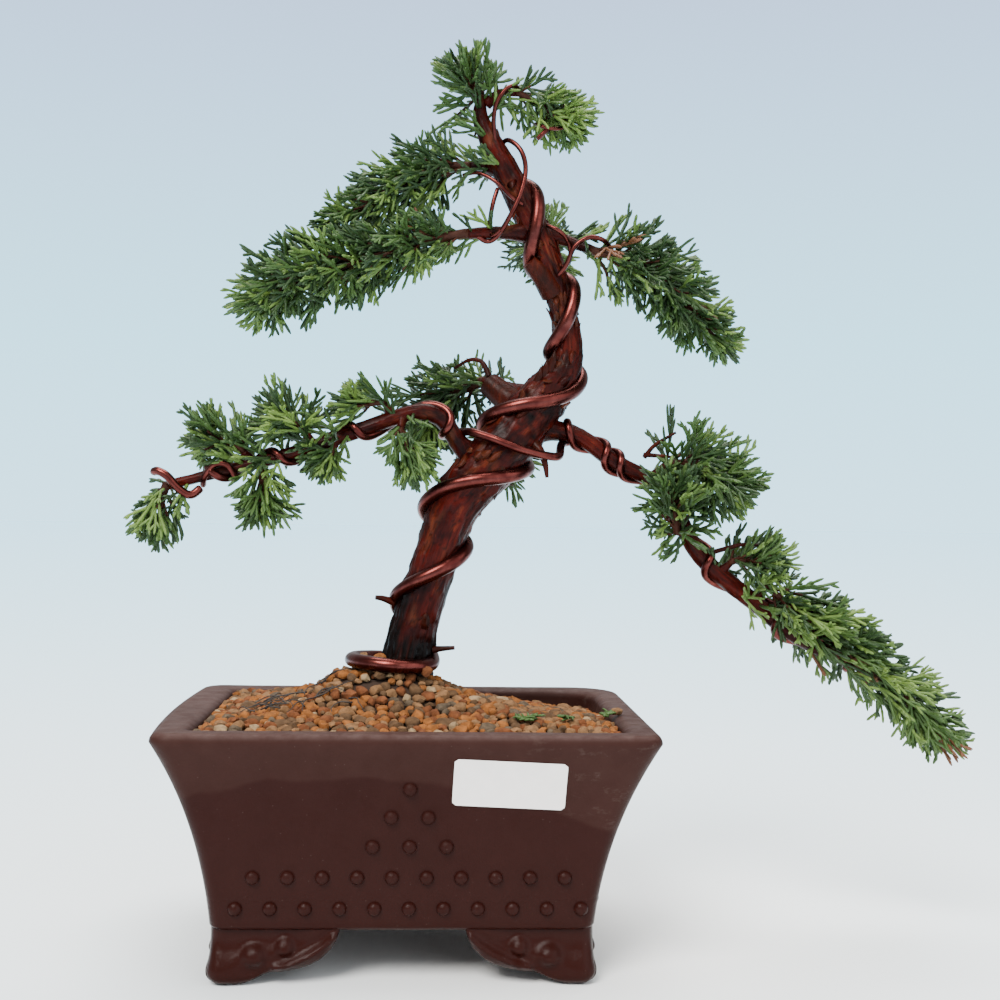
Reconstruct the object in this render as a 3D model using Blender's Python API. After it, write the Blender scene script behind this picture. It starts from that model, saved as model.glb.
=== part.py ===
"""A wired juniper bonsai standing in a footed clay pot.

Every length below is in millimetres in the pot's own frame: X runs to the right along the pot's long
side, Y to the back, and Z up from the ground that the feet stand on, with the pot's centre at X = Y = 0.
Meshes and curves are scaled to metres as they are made.
"""

import math
import random

import bmesh
import bpy
from mathutils import Matrix, Vector, kdtree

MM = 0.001
GAP = 0.3  # clearance that neighbouring solids keep
MODEL_NAME = "juniper_bonsai"
SMOOTH_ANGLE = math.radians(50)

# Where the pot's centre stands, so that the middle of the whole plant is over the origin.
POT_X = -53.8
POT_Y = 0.0

# Pot
POT_LENGTH = 183.0
POT_DEPTH = 145.6
POT_HEIGHT = 92.5
BODY_BOTTOM = 20.0  # the feet carry the body at this height
FLARE_LENGTH = 24.5  # how far the rim stands out past the body's bottom, each end
FLARE_DEPTH = 13.0  # the same to the front and the back
FLARE_STRAIGHT = 0.35  # the share of the flare that grows evenly with height
FLARE_POWER = 2.2
RIM_WIDTH = 12.5
RIM_EDGE = 4.0  # height of the rim's upright outer edge
WALL = 9.0
FLOOR_THICKNESS = 8.0
NECK_HEIGHT = 74.0  # from here the inner wall runs straight to the rim
CORNER_RADIUS = 5.0
CORNER_STEPS = 3
BODY_RINGS = 6

# Feet: one apron along each wall from every corner
FOOT_LENGTH = 47.0
FOOT_THICKNESS = 11.0
FOOT_PROUD = 2.0  # how far the feet stand out past the body's bottom
FOOT_PAD_START = 3.0
FOOT_PAD_END = 13.0
FOOT_SCROLL_HEIGHT = 4.0
FOOT_SUNK = 2.0  # into the body
FOOT_LOBE = 2.6  # how far the lower edge bulges up past its pad, over this share of its length
FOOT_LOBE_SHARE = 0.625
FOOT_RISE = 17.5  # the lower edge climbs this far to the foot's thin end
FOOT_POWER = 1.7
FOOT_STEPS = 6

# Bosses: rows of small domes, (height, how many on a long side, how many on a short side)
BOSS_ROWS = ((28.0, 11, 8), (39.5, 10, 7), (51.0, 3, 2), (62.0, 2, 1), (72.5, 1, 0))
BOSS_SPACING = 12.2
BOSS_UPPER_SPACING = 13.0
BOSS_FULL_ROWS = 2  # the lower rows run from corner to corner
BOSS_RADIUS = 2.7
BOSS_TOP_RADIUS = 1.35
BOSS_PROUD = 2.2
BOSS_SUNK = 1.4
BOSS_SIDES = 4

# Soil mound
SOIL_TOP = 107.0
SOIL_EDGE = 90.5
SOIL_EVEN_SHARE = 0.45  # of the mound's rise comes evenly with the way in, the rest steeply by the trunk
SOIL_POWER = 5
SOIL_PLATEAU = (17.5, 15.0)  # half its length and half its depth
SOIL_PLATEAU_X = -12.5
SOIL_CORNER = 15.0  # the corner radius of the level top
SOIL_CELLS = (22, 17)  # half a lump each, along X and along Y
SOIL_LUMP = 2.8  # from a lump's top to the hollow beside it
SOIL_LEVEL = 13.5  # the soil is level within this distance of the middle of the trunk's foot
SOIL_STEPS = 12  # halvings in the search for a place's ring
SOIL_CORNER_INSET = 1.5  # keeps the block's corners clear of the pot's round ones

# Blank sticker on the front wall
LABEL_LENGTH = 39.0
LABEL_HEIGHT = 16.5
LABEL_THICKNESS = 0.4
LABEL_X = 37.0
LABEL_BOTTOM = 66.5
LABEL_TURN = math.radians(2.6)

# Limbs: (x, y, z, radius) at each bend, from the root to the tip
TRUNK_FOOT = SOIL_TOP + GAP
TRUNK = (
    (-2.5, 1, 104, 11.6),
    (-2.0, 1, 112, 10.2),
    (1.5, 1, 128, 9.8),
    (10, -1, 152, 10.1),
    (17, -2, 175, 10.8),
    (34, -2, 196, 12.3),
    (49, 1, 216, 11.2),
    (59, 3, 234, 7.3),
    (59, 2, 256, 5.5),
    (51, 0, 279, 6.5),
    (41, -1, 300, 6.0),
    (31, 0, 319, 5.0),
    (25, 1, 333, 3.2),
    (25, 1, 342, 1.8),
)
LEFT_BOUGH = (
    (31, -2, 187, 4.6),
    (19, -4, 198, 3.8),
    (9, -7, 210, 3.5),
    (-5, -9, 210, 3.3),
    (-46, -10, 195, 2.8),
    (-97, -8, 181, 2.0),
)
RIGHT_BOUGH = (
    (42, 1, 206, 4.4),
    (54, 2, 206, 3.9),
    (67, 0, 203, 3.7),
    (81, -2, 193, 3.4),
    (101, -3, 182, 3.1),
    (116, -4, 156, 3.7),
    (139, -6, 136, 3.6),
    (157, -8, 122, 3.2),
    (182, -8, 111, 2.4),
)
LEFT_BEND = 2  # the key point at which each long bough is split
RIGHT_BEND = 4
BOUGHS = {
    "upper_left_low_bough": ((47, -1, 286, 3.0), (33, -4, 285, 2.6), (20, -6, 284, 2.1)),
    "upper_left_high_bough": ((35, 0, 311, 2.6), (27, 2, 313, 2.1), (21, 3, 313.5, 1.8)),
    "upper_right_bough": ((46, 1, 288, 3.0), (60, -1, 283, 2.4), (70, -4, 279, 2.0)),
    "upper_back_bough": ((50, 0, 283, 3.0), (52, 12, 285, 2.4), (53, 22, 287, 2.0)),
    "middle_back_bough": ((49, 2, 217, 5.0), (38, 14, 222, 4.4), (29, 25, 227, 2.4)),
    "low_back_bough": ((27, -1, 186, 4.0), (31, 14, 189, 3.0), (35, 27, 195, 2.2)),
}
# Short side boughs: the limb that each grows from, then its points
SIDE_BOUGHS = {
    "apex_right_side": ("trunk", (27, 1, 338, 1.6), (32, 0, 343, 1.5), (39, 0, 343, 1.4)),
    "left_hanging_side": ("left_bough", (-60, -9.5, 191, 1.8), (-60, -13, 185.5, 1.4)),
    "left_outer_side": ("left_bough", (-65, -9, 190, 1.8), (-67.5, -10, 194.5, 1.5)),
    "left_inner_side": ("left_bough", (-41, -10, 197, 1.9), (-43, -11, 202, 1.5)),
    "left_knee_top_side": ("left_bough", (-9, -9, 209, 1.7), (-11.5, -10, 214, 1.4)),
    "left_knee_low_side": ("left_bough", (-5, -9, 210, 1.7), (-5.5, -12.5, 204.5, 1.4)),
    "left_under_side": ("left_bough", (-31, -10, 201, 1.5), (-32, -12, 196, 1.2)),
    "right_first_side": ("right_bough_inner", (95, -3, 185, 2.4), (101, -6, 191, 2.0)),
    "right_front_side": ("right_bough_outer", (111, -4, 164.5, 1.9), (106, -11, 165, 1.6)),
    "right_small_side": ("right_bough_outer", (124, -5, 148, 1.7), (128, -7, 152.5, 1.4)),
    "right_third_side": ("right_bough_outer", (137.5, -6, 137.5, 1.9), (141.5, -8, 142.5, 1.6)),
}
LIMB_STEP = 7.0  # spacing of the points along a limb

# Foliage: the limb whose tip each mass grows from, how much wider than tall its space is along X, Y and
# Z, then the stem's points after that tip with the reach of the space around each
WIDE = (1.0, 1.4, 1.0)
BACK = (1.4, 1.0, 1.0)
ROUND = (1.0, 1.15, 1.0)
MASSES = {
    "apex_top": ("trunk", ROUND, (25, 1, 342, 17), (22, 0, 352, 13)),
    "apex_right": ("apex_right_side", WIDE, (40, 0, 342, 9), (52, 0, 338, 10), (62, -1, 332, 9)),
    "upper_left_high": (
        "upper_left_high_bough", WIDE,
        (20, 2, 314, 16), (8, 3, 314, 16), (-6, 3, 311, 16), (-18, 3, 302, 13), (-30, 3, 295, 10),
        (-43, 2, 292, 6), (-53, 2, 291, 5),
    ),
    "upper_left_low": (
        "upper_left_low_bough", WIDE,
        (19, -6, 284, 9), (6, -7, 281, 10), (-10, -8, 278, 12), (-28, -8, 273, 14), (-45, -8, 269, 16),
        (-57, -8, 264, 17), (-62, -8, 260, 14),
    ),
    "upper_right": (
        "upper_right_bough", WIDE,
        (71, -4, 278.5, 10), (86, -6, 270.5, 16), (100, -6, 263, 18), (112, -6, 255, 16), (122, -6, 247, 12),
        (129, -6, 241, 8),
    ),
    "upper_back": ("upper_back_bough", BACK, (53, 23, 287, 12), (54, 36, 289, 17), (55, 50, 288, 15)),
    "left_tip": ("left_bough", WIDE, (-98, -8, 180.5, 11), (-106, -8, 171, 14)),
    "left_hanging": ("left_hanging_side", ROUND, (-60, -14, 184, 12), (-60, -15, 174, 15)),
    "left_outer": ("left_outer_side", WIDE, (-68, -10, 195.5, 10), (-79, -9, 206, 17)),
    "left_inner": ("left_inner_side", WIDE, (-43.5, -11, 203, 14), (-51, -10, 211, 17)),
    "left_knee_top": ("left_knee_top_side", WIDE, (-12, -10, 215, 7), (-18, -10, 222, 12)),
    "left_knee_low": ("left_knee_low_side", WIDE, (-6, -13, 203.5, 10), (-9, -13, 193, 14)),
    "left_under": ("left_under_side", WIDE, (-32.5, -12, 195, 7), (-35, -12, 190, 9)),
    "middle_back": ("middle_back_bough", BACK, (28, 26, 227.5, 12), (12, 38, 224, 21)),
    "low_back": ("low_back_bough", BACK, (35.5, 28, 196, 10), (37, 45, 196, 17)),
    "right_first": (
        "right_first_side", WIDE, (101.5, -7, 192, 14), (113, -9, 189, 21), (125, -10, 180, 19),
    ),
    "right_front": ("right_front_side", ROUND, (105, -13, 166, 14), (98, -18, 177, 15)),
    "right_small": ("right_small_side", WIDE, (129, -7.5, 153.5, 9), (141, -9, 156, 12)),
    "right_third": (
        "right_third_side", WIDE, (142.5, -8.5, 143, 9), (155, -9, 138, 12), (170, -9, 129, 13),
        (182, -9, 121, 10),
    ),
    "right_tip": (
        "right_bough_outer", WIDE, (183.5, -8, 110.5, 10), (197, -8, 102, 13), (207, -8, 92, 14),
        (214, -8, 85, 11),
    ),
}

# The growing rule
STEM_LEAD = 1.5  # a stem runs straight on from its bough this far
STEM_STEP = 8.6  # spacing of the pairs of twigs along a stem
TURN_PER_PAIR = math.radians(74)
TWIG_FORWARD = 0.75  # how far a twig leans along its stem, against 1 outwards
TWIG_SHARE = 0.62  # a twig's length as a share of the way to the edge of the space
TWIG_MIN, TWIG_MAX = 4.0, 20.0
WAY_OUT_MAX = 60.0
TWIG_RADIUS = 1.0
TWIG_TIP_RADIUS = 0.7
LEAF_SPACING = 7.3
LEAF_FORWARD = 1.05  # how far a leaf leans along its twig, against 1 sideways
LEAF_LENGTHS = (19.0, 15.0, 11.0)  # tried in this order until one fits the space
LEAF_RADIUS = 2.3
LEAF_TIP_RADIUS = 1.5
LEAF_SUNK = 0.8
STEM_TIP_RADIUS = 0.9
SEED = 7

# Wires
TRUNK_WIRE_RADIUS = 2.9
BOUGH_WIRE_RADIUS = 1.7
WIRE_SLACK = 0.8  # between a limb and its wire
WIRE_STEPS_PER_TURN = 10
# The trunk wire passes the trunk's left side and its right side in turn at these heights of its axis,
# from the loop that lies on the soil, this much further out at the first ones
TRUNK_WIRE_HEIGHTS = (109.5, 114, 134, 160, 170, 198, 201, 230, 238, 263, 275, 300, 314)
TRUNK_WIRE_EXTRA = (9.0, 2.0)
TRUNK_WIRE_START = -0.35  # in half turns
TRUNK_WIRE_END = 11.6
# Where each bough wire crosses the front of its bough, in mm along it, and half the length of a crossing
CROSSING = 3.5
LEFT_WIRE_CROSSINGS = (28.5, 66, 98, 124)
LEFT_WIRE_LEAD = 21.0  # where the wire comes to the bough's right side, half a turn before the first
RIGHT_WIRE_CROSSINGS = (39, 70, 101, 137, 168)
RIGHT_WIRE_LEAD = 18.5
SECOND_WIRE_CROSSINGS = (22.5, 46, 76)
# The stretch that joins the left and the right coil over the front of the trunk
WIRE_BRIDGE = ((22, -11, 204), (31, -15.5, 201), (41, -17, 197), (49, -15, 195), (58, -10, 194))

# Colours: base colour, roughness, metallic
FINISHES = {
    "clay": ((0.052, 0.021, 0.017), 0.62, 0.0),
    "granules": ((0.33, 0.13, 0.045), 0.95, 0.0),
    "bark": ((0.15, 0.032, 0.012), 0.45, 0.0),
    "foliage": ((0.045, 0.11, 0.035), 0.6, 0.0),
    "copper": ((0.14, 0.035, 0.025), 0.32, 1.0),
    "paper": ((0.85, 0.85, 0.84), 0.55, 0.0),
}


# ---- scene, materials and objects ----


def clear_scene():
    for old in list(bpy.data.objects):
        bpy.data.objects.remove(old, do_unlink=True)


def make_collection(name):
    collection = bpy.data.collections.new(name)
    bpy.context.scene.collection.children.link(collection)
    return collection


def make_material(name, finish):
    colour, roughness, metallic = FINISHES[finish]
    material = bpy.data.materials.new(name)
    material.use_nodes = True
    shader = material.node_tree.nodes["Principled BSDF"]
    shader.inputs["Base Color"].default_value = (*colour, 1.0)
    shader.inputs["Roughness"].default_value = roughness
    shader.inputs["Metallic"].default_value = metallic
    return material


def add_object(name, data, collection, finish=None, parent=None):
    thing = bpy.data.objects.new(name, data)
    collection.objects.link(thing)
    if finish:
        data.materials.append(make_material(f"{name}_{finish}", finish))
    thing.parent = parent
    return thing


def mesh_from(bm, name):
    """The bmesh as a mesh in metres; the bmesh is freed."""
    bmesh.ops.scale(bm, vec=(MM, MM, MM), verts=bm.verts)
    bmesh.ops.recalc_face_normals(bm, faces=bm.faces)
    mesh = bpy.data.meshes.new(name)
    bm.to_mesh(mesh)
    bm.free()
    return mesh


def as_mesh(thing, weld=False):
    """The object's evaluated mesh in place of its curve or modifiers."""
    bpy.context.view_layer.update()
    graph = bpy.context.evaluated_depsgraph_get()
    mesh = bpy.data.meshes.new_from_object(thing.evaluated_get(graph))
    if weld:
        bm = bmesh.new()
        bm.from_mesh(mesh)
        bmesh.ops.remove_doubles(bm, verts=bm.verts, dist=0.001 * MM)
        bmesh.ops.recalc_face_normals(bm, faces=bm.faces)
        bm.to_mesh(mesh)
        bm.free()
    return mesh


def add_boolean(thing, operation, operand):
    """A Boolean modifier whose operand is an object or a collection."""
    modifier = thing.modifiers.new(operation.lower(), "BOOLEAN")
    modifier.operation = operation
    modifier.solver = "EXACT"
    if isinstance(operand, bpy.types.Collection):
        modifier.operand_type = "COLLECTION"
        modifier.collection = operand
    else:
        modifier.object = operand
    return modifier


def shade_round(mesh):
    mesh.shade_smooth()
    mesh.set_sharp_from_angle(angle=SMOOTH_ANGLE)


def is_closed(mesh):
    bm = bmesh.new()
    bm.from_mesh(mesh)
    closed = all(len(edge.link_faces) == 2 for edge in bm.edges)
    bm.free()
    return closed


def main_body(mesh):
    """Keeps the largest body of a mesh: sealed hollows are filled and loose scraps dropped."""
    bm = bmesh.new()
    bm.from_mesh(mesh)
    left = set(bm.faces)
    bodies = []
    while left:
        body = {left.pop()}
        front = list(body)
        while front:
            face = front.pop()
            near = {other for edge in face.edges for other in edge.link_faces if other in left}
            left -= near
            body |= near
            front.extend(near)
        bodies.append(body)
    bodies.sort(key=len)
    spare = [face for body in bodies[:-1] for face in body]
    bmesh.ops.delete(bm, geom=spare, context="FACES")
    bm.to_mesh(mesh)
    bm.free()


# ---- paths along limbs ----


def smooth_path(keys, step=LIMB_STEP):
    """(place, radius) about step apart on a smooth curve through the key points."""
    rows = [Vector(key) for key in keys]
    rows = [rows[0] * 2 - rows[1], *rows, rows[-1] * 2 - rows[-2]]
    path = []
    for a, b, c, d in zip(rows, rows[1:], rows[2:], rows[3:]):
        count = max(1, round((c - b).to_3d().length / step))
        for i in range(count):
            t = i / count
            row = b * 2 + (c - a) * t + (a * 2 - b * 5 + c * 4 - d) * t**2 + (b * 3 - a - c * 3 + d) * t**3
            path.append(row * 0.5)
    path.append(rows[-2])
    return [(row.to_3d(), row.w) for row in path]


def lengths_along(path):
    """The distance from the path's start to each of its points."""
    total = [0.0]
    for (a, _), (b, _) in zip(path, path[1:]):
        total.append(total[-1] + (b - a).length)
    return total


def index_where(values, value):
    """The fractional index at which a rising list of values reaches value."""
    for i, (low, high) in enumerate(zip(values, values[1:])):
        if value <= high:
            return i + max(0.0, (value - low) / (high - low))
    return len(values) - 1.0


def tangent(path, i):
    return (path[min(i + 1, len(path) - 1)][0] - path[max(i - 1, 0)][0]).normalized()


def beside(path, index, turns, distance):
    """A point beside the path at a fractional index, distance from the limb's surface.

    Turns count from the limb's left side, or its upper side where it runs to the right, over the front.
    """
    i = min(int(index), len(path) - 2)
    share = index - i
    along = tangent(path, i).lerp(tangent(path, i + 1), share).normalized()
    place = path[i][0].lerp(path[i + 1][0], share)
    radius = path[i][1] + (path[i + 1][1] - path[i][1]) * share
    back = (Vector((0, 1, 0)) - along * along.y).normalized()
    side = along.cross(back)
    angle = turns * math.tau
    return place + (side * math.cos(angle) - back * math.sin(angle)) * (radius + distance)


def split_path(path, key):
    """The path in two on the straight stretch after the key point, their ends GAP apart."""
    cut = min(range(len(path)), key=lambda i: (path[i][0] - Vector(key[:3])).length)
    (a, radius), (b, _) = path[cut], path[cut + 1]
    shift = (b - a).normalized() * GAP / 2
    middle = (a + b) / 2
    return [*path[:cut + 1], (middle - shift, radius)], [(middle + shift, radius), *path[cut + 1:]]


# ---- pot ----


def flare_at(height):
    """How much of its full flare the body has at a height, 0 at its bottom and 1 at the rim."""
    t = (height - BODY_BOTTOM) / (POT_HEIGHT - BODY_BOTTOM)
    return FLARE_STRAIGHT * t + (1 - FLARE_STRAIGHT) * t**FLARE_POWER


def half_sizes(height):
    inward = 1 - flare_at(height)
    return POT_LENGTH / 2 - FLARE_LENGTH * inward, POT_DEPTH / 2 - FLARE_DEPTH * inward


def inner_sizes(height):
    """The half sizes of the pot's inside at a height."""
    wall = [size - WALL for size in half_sizes(min(height, NECK_HEIGHT))]
    rim = (POT_LENGTH / 2 - RIM_WIDTH, POT_DEPTH / 2 - RIM_WIDTH)
    share = max(0.0, (height - NECK_HEIGHT) / (POT_HEIGHT - NECK_HEIGHT))
    return [low + (high - low) * share for low, high in zip(wall, rim)]


def rounded_ring(bm, half_length, half_depth, radius, height, centre_x=0.0):
    """The vertices of a rectangle with round corners, counter-clockwise."""
    ring = []
    for quarter in range(4):
        sign_x = (1, -1, -1, 1)[quarter]
        sign_y = (1, 1, -1, -1)[quarter]
        for step in range(CORNER_STEPS + 1):
            angle = math.radians(90) * (quarter + step / CORNER_STEPS)
            x = centre_x + sign_x * (half_length - radius) + radius * math.cos(angle)
            y = sign_y * (half_depth - radius) + radius * math.sin(angle)
            ring.append(bm.verts.new((x, y, height)))
    return ring


def loft(bm, rings):
    """Skins between rings of equal counts and caps both ends."""
    for low, high in zip(rings, rings[1:]):
        for i in range(len(low)):
            j = (i + 1) % len(low)
            bm.faces.new((low[i], low[j], high[j], high[i]))
    bm.faces.new(list(reversed(rings[0])))
    bm.faces.new(rings[-1])


def pot_shell():
    bm = bmesh.new()
    rings = []
    edge = POT_HEIGHT - RIM_EDGE
    for i in range(BODY_RINGS):
        height = BODY_BOTTOM + (edge - BODY_BOTTOM) * i / (BODY_RINGS - 1)
        rings.append(rounded_ring(bm, *half_sizes(height), CORNER_RADIUS, height))
    length, depth = POT_LENGTH / 2, POT_DEPTH / 2
    rings.append(rounded_ring(bm, length, depth, CORNER_RADIUS, edge + 1.0))
    rings.append(rounded_ring(bm, length, depth, CORNER_RADIUS, POT_HEIGHT - 0.8))
    rings.append(rounded_ring(bm, length - 1, depth - 1, CORNER_RADIUS, POT_HEIGHT))
    for height in (POT_HEIGHT, NECK_HEIGHT, BODY_BOTTOM + FLOOR_THICKNESS):
        rings.append(rounded_ring(bm, *inner_sizes(height), CORNER_RADIUS, height))
    loft(bm, rings)
    return mesh_from(bm, "pot")


def foot_outline():
    """The apron seen square on: (along the wall from the corner, up), counter-clockwise."""
    top = BODY_BOTTOM + FOOT_SUNK
    points = [(0.0, top), (0.0, FOOT_SCROLL_HEIGHT), (FOOT_PAD_START, 0.0), (FOOT_PAD_END, 0.0)]
    for i in range(1, FOOT_STEPS + 1):
        t = i / FOOT_STEPS
        along = FOOT_PAD_END + (FOOT_LENGTH - FOOT_PAD_END) * t
        lobe = FOOT_LOBE * math.sin(math.pi * min(1.0, t / FOOT_LOBE_SHARE))
        points.append((along, min(lobe + FOOT_RISE * t**FOOT_POWER, FOOT_RISE)))
    points.append((FOOT_LENGTH, top))
    return points


def apron(collection, corner_x, corner_y, along_y):
    """One extruded apron; along_y runs it along the short wall."""
    curve = bpy.data.curves.new("apron", "CURVE")
    curve.dimensions = "2D"
    curve.fill_mode = "BOTH"
    curve.extrude = FOOT_THICKNESS / 2 * MM
    outline = foot_outline()
    spline = curve.splines.new("POLY")
    spline.points.add(len(outline) - 1)
    for point, (along, up) in zip(spline.points, outline):
        point.co = (along * MM, up * MM, 0, 1)
    spline.use_cyclic_u = True
    guide = add_object("apron", curve, collection)
    guide.rotation_euler = (math.radians(90), 0, math.radians(90) if along_y else 0)
    sideways = FOOT_THICKNESS / 2
    inset = Vector((sideways, 0, 0)) if along_y else Vector((0, sideways, 0))
    corner = Vector((-abs(corner_x), -abs(corner_y), 0))
    guide.location = (corner + inset) * MM
    bpy.context.view_layer.update()
    mesh = as_mesh(guide, weld=True)
    mesh.transform(guide.matrix_world)
    flip = Matrix.Diagonal((1 if corner_x < 0 else -1, 1 if corner_y < 0 else -1, 1, 1))
    mesh.transform(flip)
    if flip.determinant() < 0:
        mesh.flip_normals()
    bpy.data.objects.remove(guide)
    return add_object("apron", mesh, collection)


def boss_places():
    """(place, outward direction) of every boss on the four walls."""
    places = []
    for row, (height, long_count, short_count) in enumerate(BOSS_ROWS):
        half_length, half_depth = half_sizes(height)
        spacing = BOSS_SPACING if row < BOSS_FULL_ROWS else BOSS_UPPER_SPACING
        for count, wall, across in ((long_count, half_depth, False), (short_count, half_length, True)):
            for i in range(count):
                along = (i - (count - 1) / 2) * spacing
                for side in (-1, 1):
                    if across:
                        places.append((Vector((side * wall, along, height)), Vector((side, 0, 0))))
                    else:
                        places.append((Vector((along, side * wall, height)), Vector((0, side, 0))))
    return places


def add_boss(collection, place, outward):
    bm = bmesh.new()
    depth = BOSS_PROUD + BOSS_SUNK
    bmesh.ops.create_cone(
        bm, cap_ends=True, segments=BOSS_SIDES, radius1=BOSS_RADIUS, radius2=BOSS_TOP_RADIUS, depth=depth
    )
    turn = outward.to_track_quat("Z", "Y").to_matrix().to_4x4()
    centre = place + outward * (BOSS_PROUD - BOSS_SUNK) / 2
    bmesh.ops.transform(bm, matrix=Matrix.Translation(centre) @ turn, verts=bm.verts)
    add_object("boss", mesh_from(bm, "boss"), collection)


def make_pot(collection, root):
    """The shell with its feet and bosses, joined into one body."""
    extras = make_collection("pot_extras")
    half_length, half_depth = half_sizes(BODY_BOTTOM)
    for sign_x in (-1, 1):
        for sign_y in (-1, 1):
            for along_y in (False, True):
                corner_x = sign_x * (half_length + FOOT_PROUD)
                corner_y = sign_y * (half_depth + FOOT_PROUD)
                apron(extras, corner_x, corner_y, along_y)
    for place, outward in boss_places():
        add_boss(extras, place, outward)
    return fuse("pot", pot_shell(), extras, collection, root, "clay")


def fuse(name, mesh, extras, collection, root, finish):
    """Joins the collection's objects to the mesh by one union, then removes them."""
    core = add_object(name, mesh, collection)
    union = add_boolean(core, "UNION", extras)
    fused = as_mesh(core)
    if not is_closed(fused):
        union.solver = "MANIFOLD"
        fused = as_mesh(core)
    main_body(fused)
    bpy.data.objects.remove(core)
    for extra in list(extras.objects):
        bpy.data.objects.remove(extra)
    bpy.data.collections.remove(extras)
    fused.materials.clear()
    return add_object(name, fused, collection, finish, root)


def soil_rise(x, y):
    """How far in from the walls a place lies: 0 at the walls, 1 on the level top."""
    wall_length, wall_depth = inner_sizes(SOIL_EDGE)
    low, high = 0.0, 1.0
    for _ in range(SOIL_STEPS):
        t = (low + high) / 2
        length = wall_length + (SOIL_PLATEAU[0] - wall_length) * t
        depth = wall_depth + (SOIL_PLATEAU[1] - wall_depth) * t
        corner = CORNER_RADIUS + (SOIL_CORNER - CORNER_RADIUS) * t
        along = max(0.0, abs(x - SOIL_PLATEAU_X * t) - (length - corner))
        across_it = max(0.0, abs(y) - (depth - corner))
        if math.hypot(along, across_it) <= corner:
            low = t
        else:
            high = t
    return low


def soil_top(bm):
    """A grid of lumps over the mound; returns its border's vertices side by side, counter-clockwise."""
    columns, rows = SOIL_CELLS
    bmesh.ops.create_grid(bm, x_segments=columns, y_segments=rows, size=1.0)
    wall_length, wall_depth = (size - GAP for size in inner_sizes(SOIL_EDGE))
    cells = {}
    for vert in bm.verts:
        column = round((vert.co.x + 1) / 2 * columns)
        row = round((vert.co.y + 1) / 2 * rows)
        cells[column, row] = vert
        x, y = vert.co.x * wall_length, vert.co.y * wall_depth
        t = soil_rise(x, y)
        rise = SOIL_EVEN_SHARE * t + (1 - SOIL_EVEN_SHARE) * t**SOIL_POWER
        height = SOIL_EDGE + (SOIL_TOP - SOIL_EDGE) * rise
        on_border = column in (0, columns) or row in (0, rows)
        if math.hypot(x - TRUNK[0][0], y - TRUNK[0][1]) < SOIL_LEVEL:
            height = SOIL_TOP
        elif not on_border:
            height += SOIL_LUMP * ((1 - t) / 2 - (column + row) % 2)
        vert.co = (x, y, height)
    south = [cells[column, 0] for column in range(columns + 1)]
    east = [cells[columns, row] for row in range(rows + 1)]
    north = [cells[column, rows] for column in reversed(range(columns + 1))]
    west = [cells[0, row] for row in reversed(range(rows + 1))]
    for corner in (south[0], east[0], north[0], west[0]):
        corner.co.x -= math.copysign(SOIL_CORNER_INSET, corner.co.x)
        corner.co.y -= math.copysign(SOIL_CORNER_INSET, corner.co.y)
    return [south, east, north, west]


def make_soil(collection, root):
    """The lumpy top on a block that fills the pot to its floor."""
    bm = bmesh.new()
    sides = soil_top(bm)
    rings = []
    for height in (NECK_HEIGHT, BODY_BOTTOM + FLOOR_THICKNESS + GAP):
        x, y = (size - GAP - SOIL_CORNER_INSET for size in inner_sizes(height))
        corners = ((-x, -y), (x, -y), (x, y), (-x, y))
        rings.append([bm.verts.new((*corner, height)) for corner in corners])
    neck, floor = rings
    for i, side in enumerate(sides):
        j = (i + 1) % len(sides)
        bm.faces.new((neck[i], side[1], side[0]))
        bm.faces.new((neck[i], neck[j], *reversed(side[1:-1])))
        bm.faces.new((neck[j], side[-1], side[-2]))
        bm.faces.new((floor[i], floor[j], neck[j], neck[i]))
    bm.faces.new(list(reversed(floor)))
    bmesh.ops.recalc_face_normals(bm, faces=bm.faces)
    add_object("soil", mesh_from(bm, "soil"), collection, "granules", root)


def make_label(collection, root):
    """A blank sticker that lies on the flare of the front wall."""
    low = half_sizes(LABEL_BOTTOM)[1]
    high = half_sizes(LABEL_BOTTOM + LABEL_HEIGHT)[1]
    lean = math.atan2(high - low, LABEL_HEIGHT)
    bm = bmesh.new()
    bmesh.ops.create_cube(bm, size=1.0)
    bmesh.ops.scale(bm, vec=(LABEL_LENGTH, LABEL_THICKNESS, LABEL_HEIGHT), verts=bm.verts)
    label = add_object("label", mesh_from(bm, "label"), collection, "paper", root)
    label.rotation_euler = (lean, LABEL_TURN, 0)
    out = (low + high) / 2 + LABEL_THICKNESS / 2 + GAP * 2
    label.location = Vector((LABEL_X, -out, LABEL_BOTTOM + LABEL_HEIGHT / 2)) * MM


# ---- limbs and wires ----


def tube(name, path, resolution, collection):
    """A curve object whose bevel follows each point's radius."""
    curve = bpy.data.curves.new(name, "CURVE")
    curve.dimensions = "3D"
    curve.bevel_depth = MM
    curve.bevel_resolution = resolution
    curve.use_fill_caps = True
    spline = curve.splines.new("POLY")
    spline.points.add(len(path) - 1)
    for point, (place, radius) in zip(spline.points, path):
        point.co = (*(place * MM), 1)
        point.radius = radius
    return add_object(name, curve, collection)


def limb(name, path, resolution, collection, root, cutter=None):
    """A tapering limb as a mesh, its root cut clear of the limb that carries it."""
    guide = tube(name, path, resolution, collection)
    mesh = as_mesh(guide, weld=True)
    shade_round(mesh)
    bpy.data.objects.remove(guide)
    thing = add_object(name, mesh, collection, "bark", root)
    if cutter:
        add_boolean(thing, "DIFFERENCE", cutter)
    return thing


def clearance(name, path, resolution, cutters, root):
    """A cutter that is the limb's tube, GAP wider all round."""
    wider = [(place, radius + GAP) for place, radius in path]
    guide = tube(name, wider, resolution, cutters)
    mesh = as_mesh(guide, weld=True)
    bpy.data.objects.remove(guide)
    cutter = add_object(name, mesh, cutters, parent=root)
    cutter.hide_render = True
    cutter.display_type = "WIRE"
    return cutter


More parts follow.
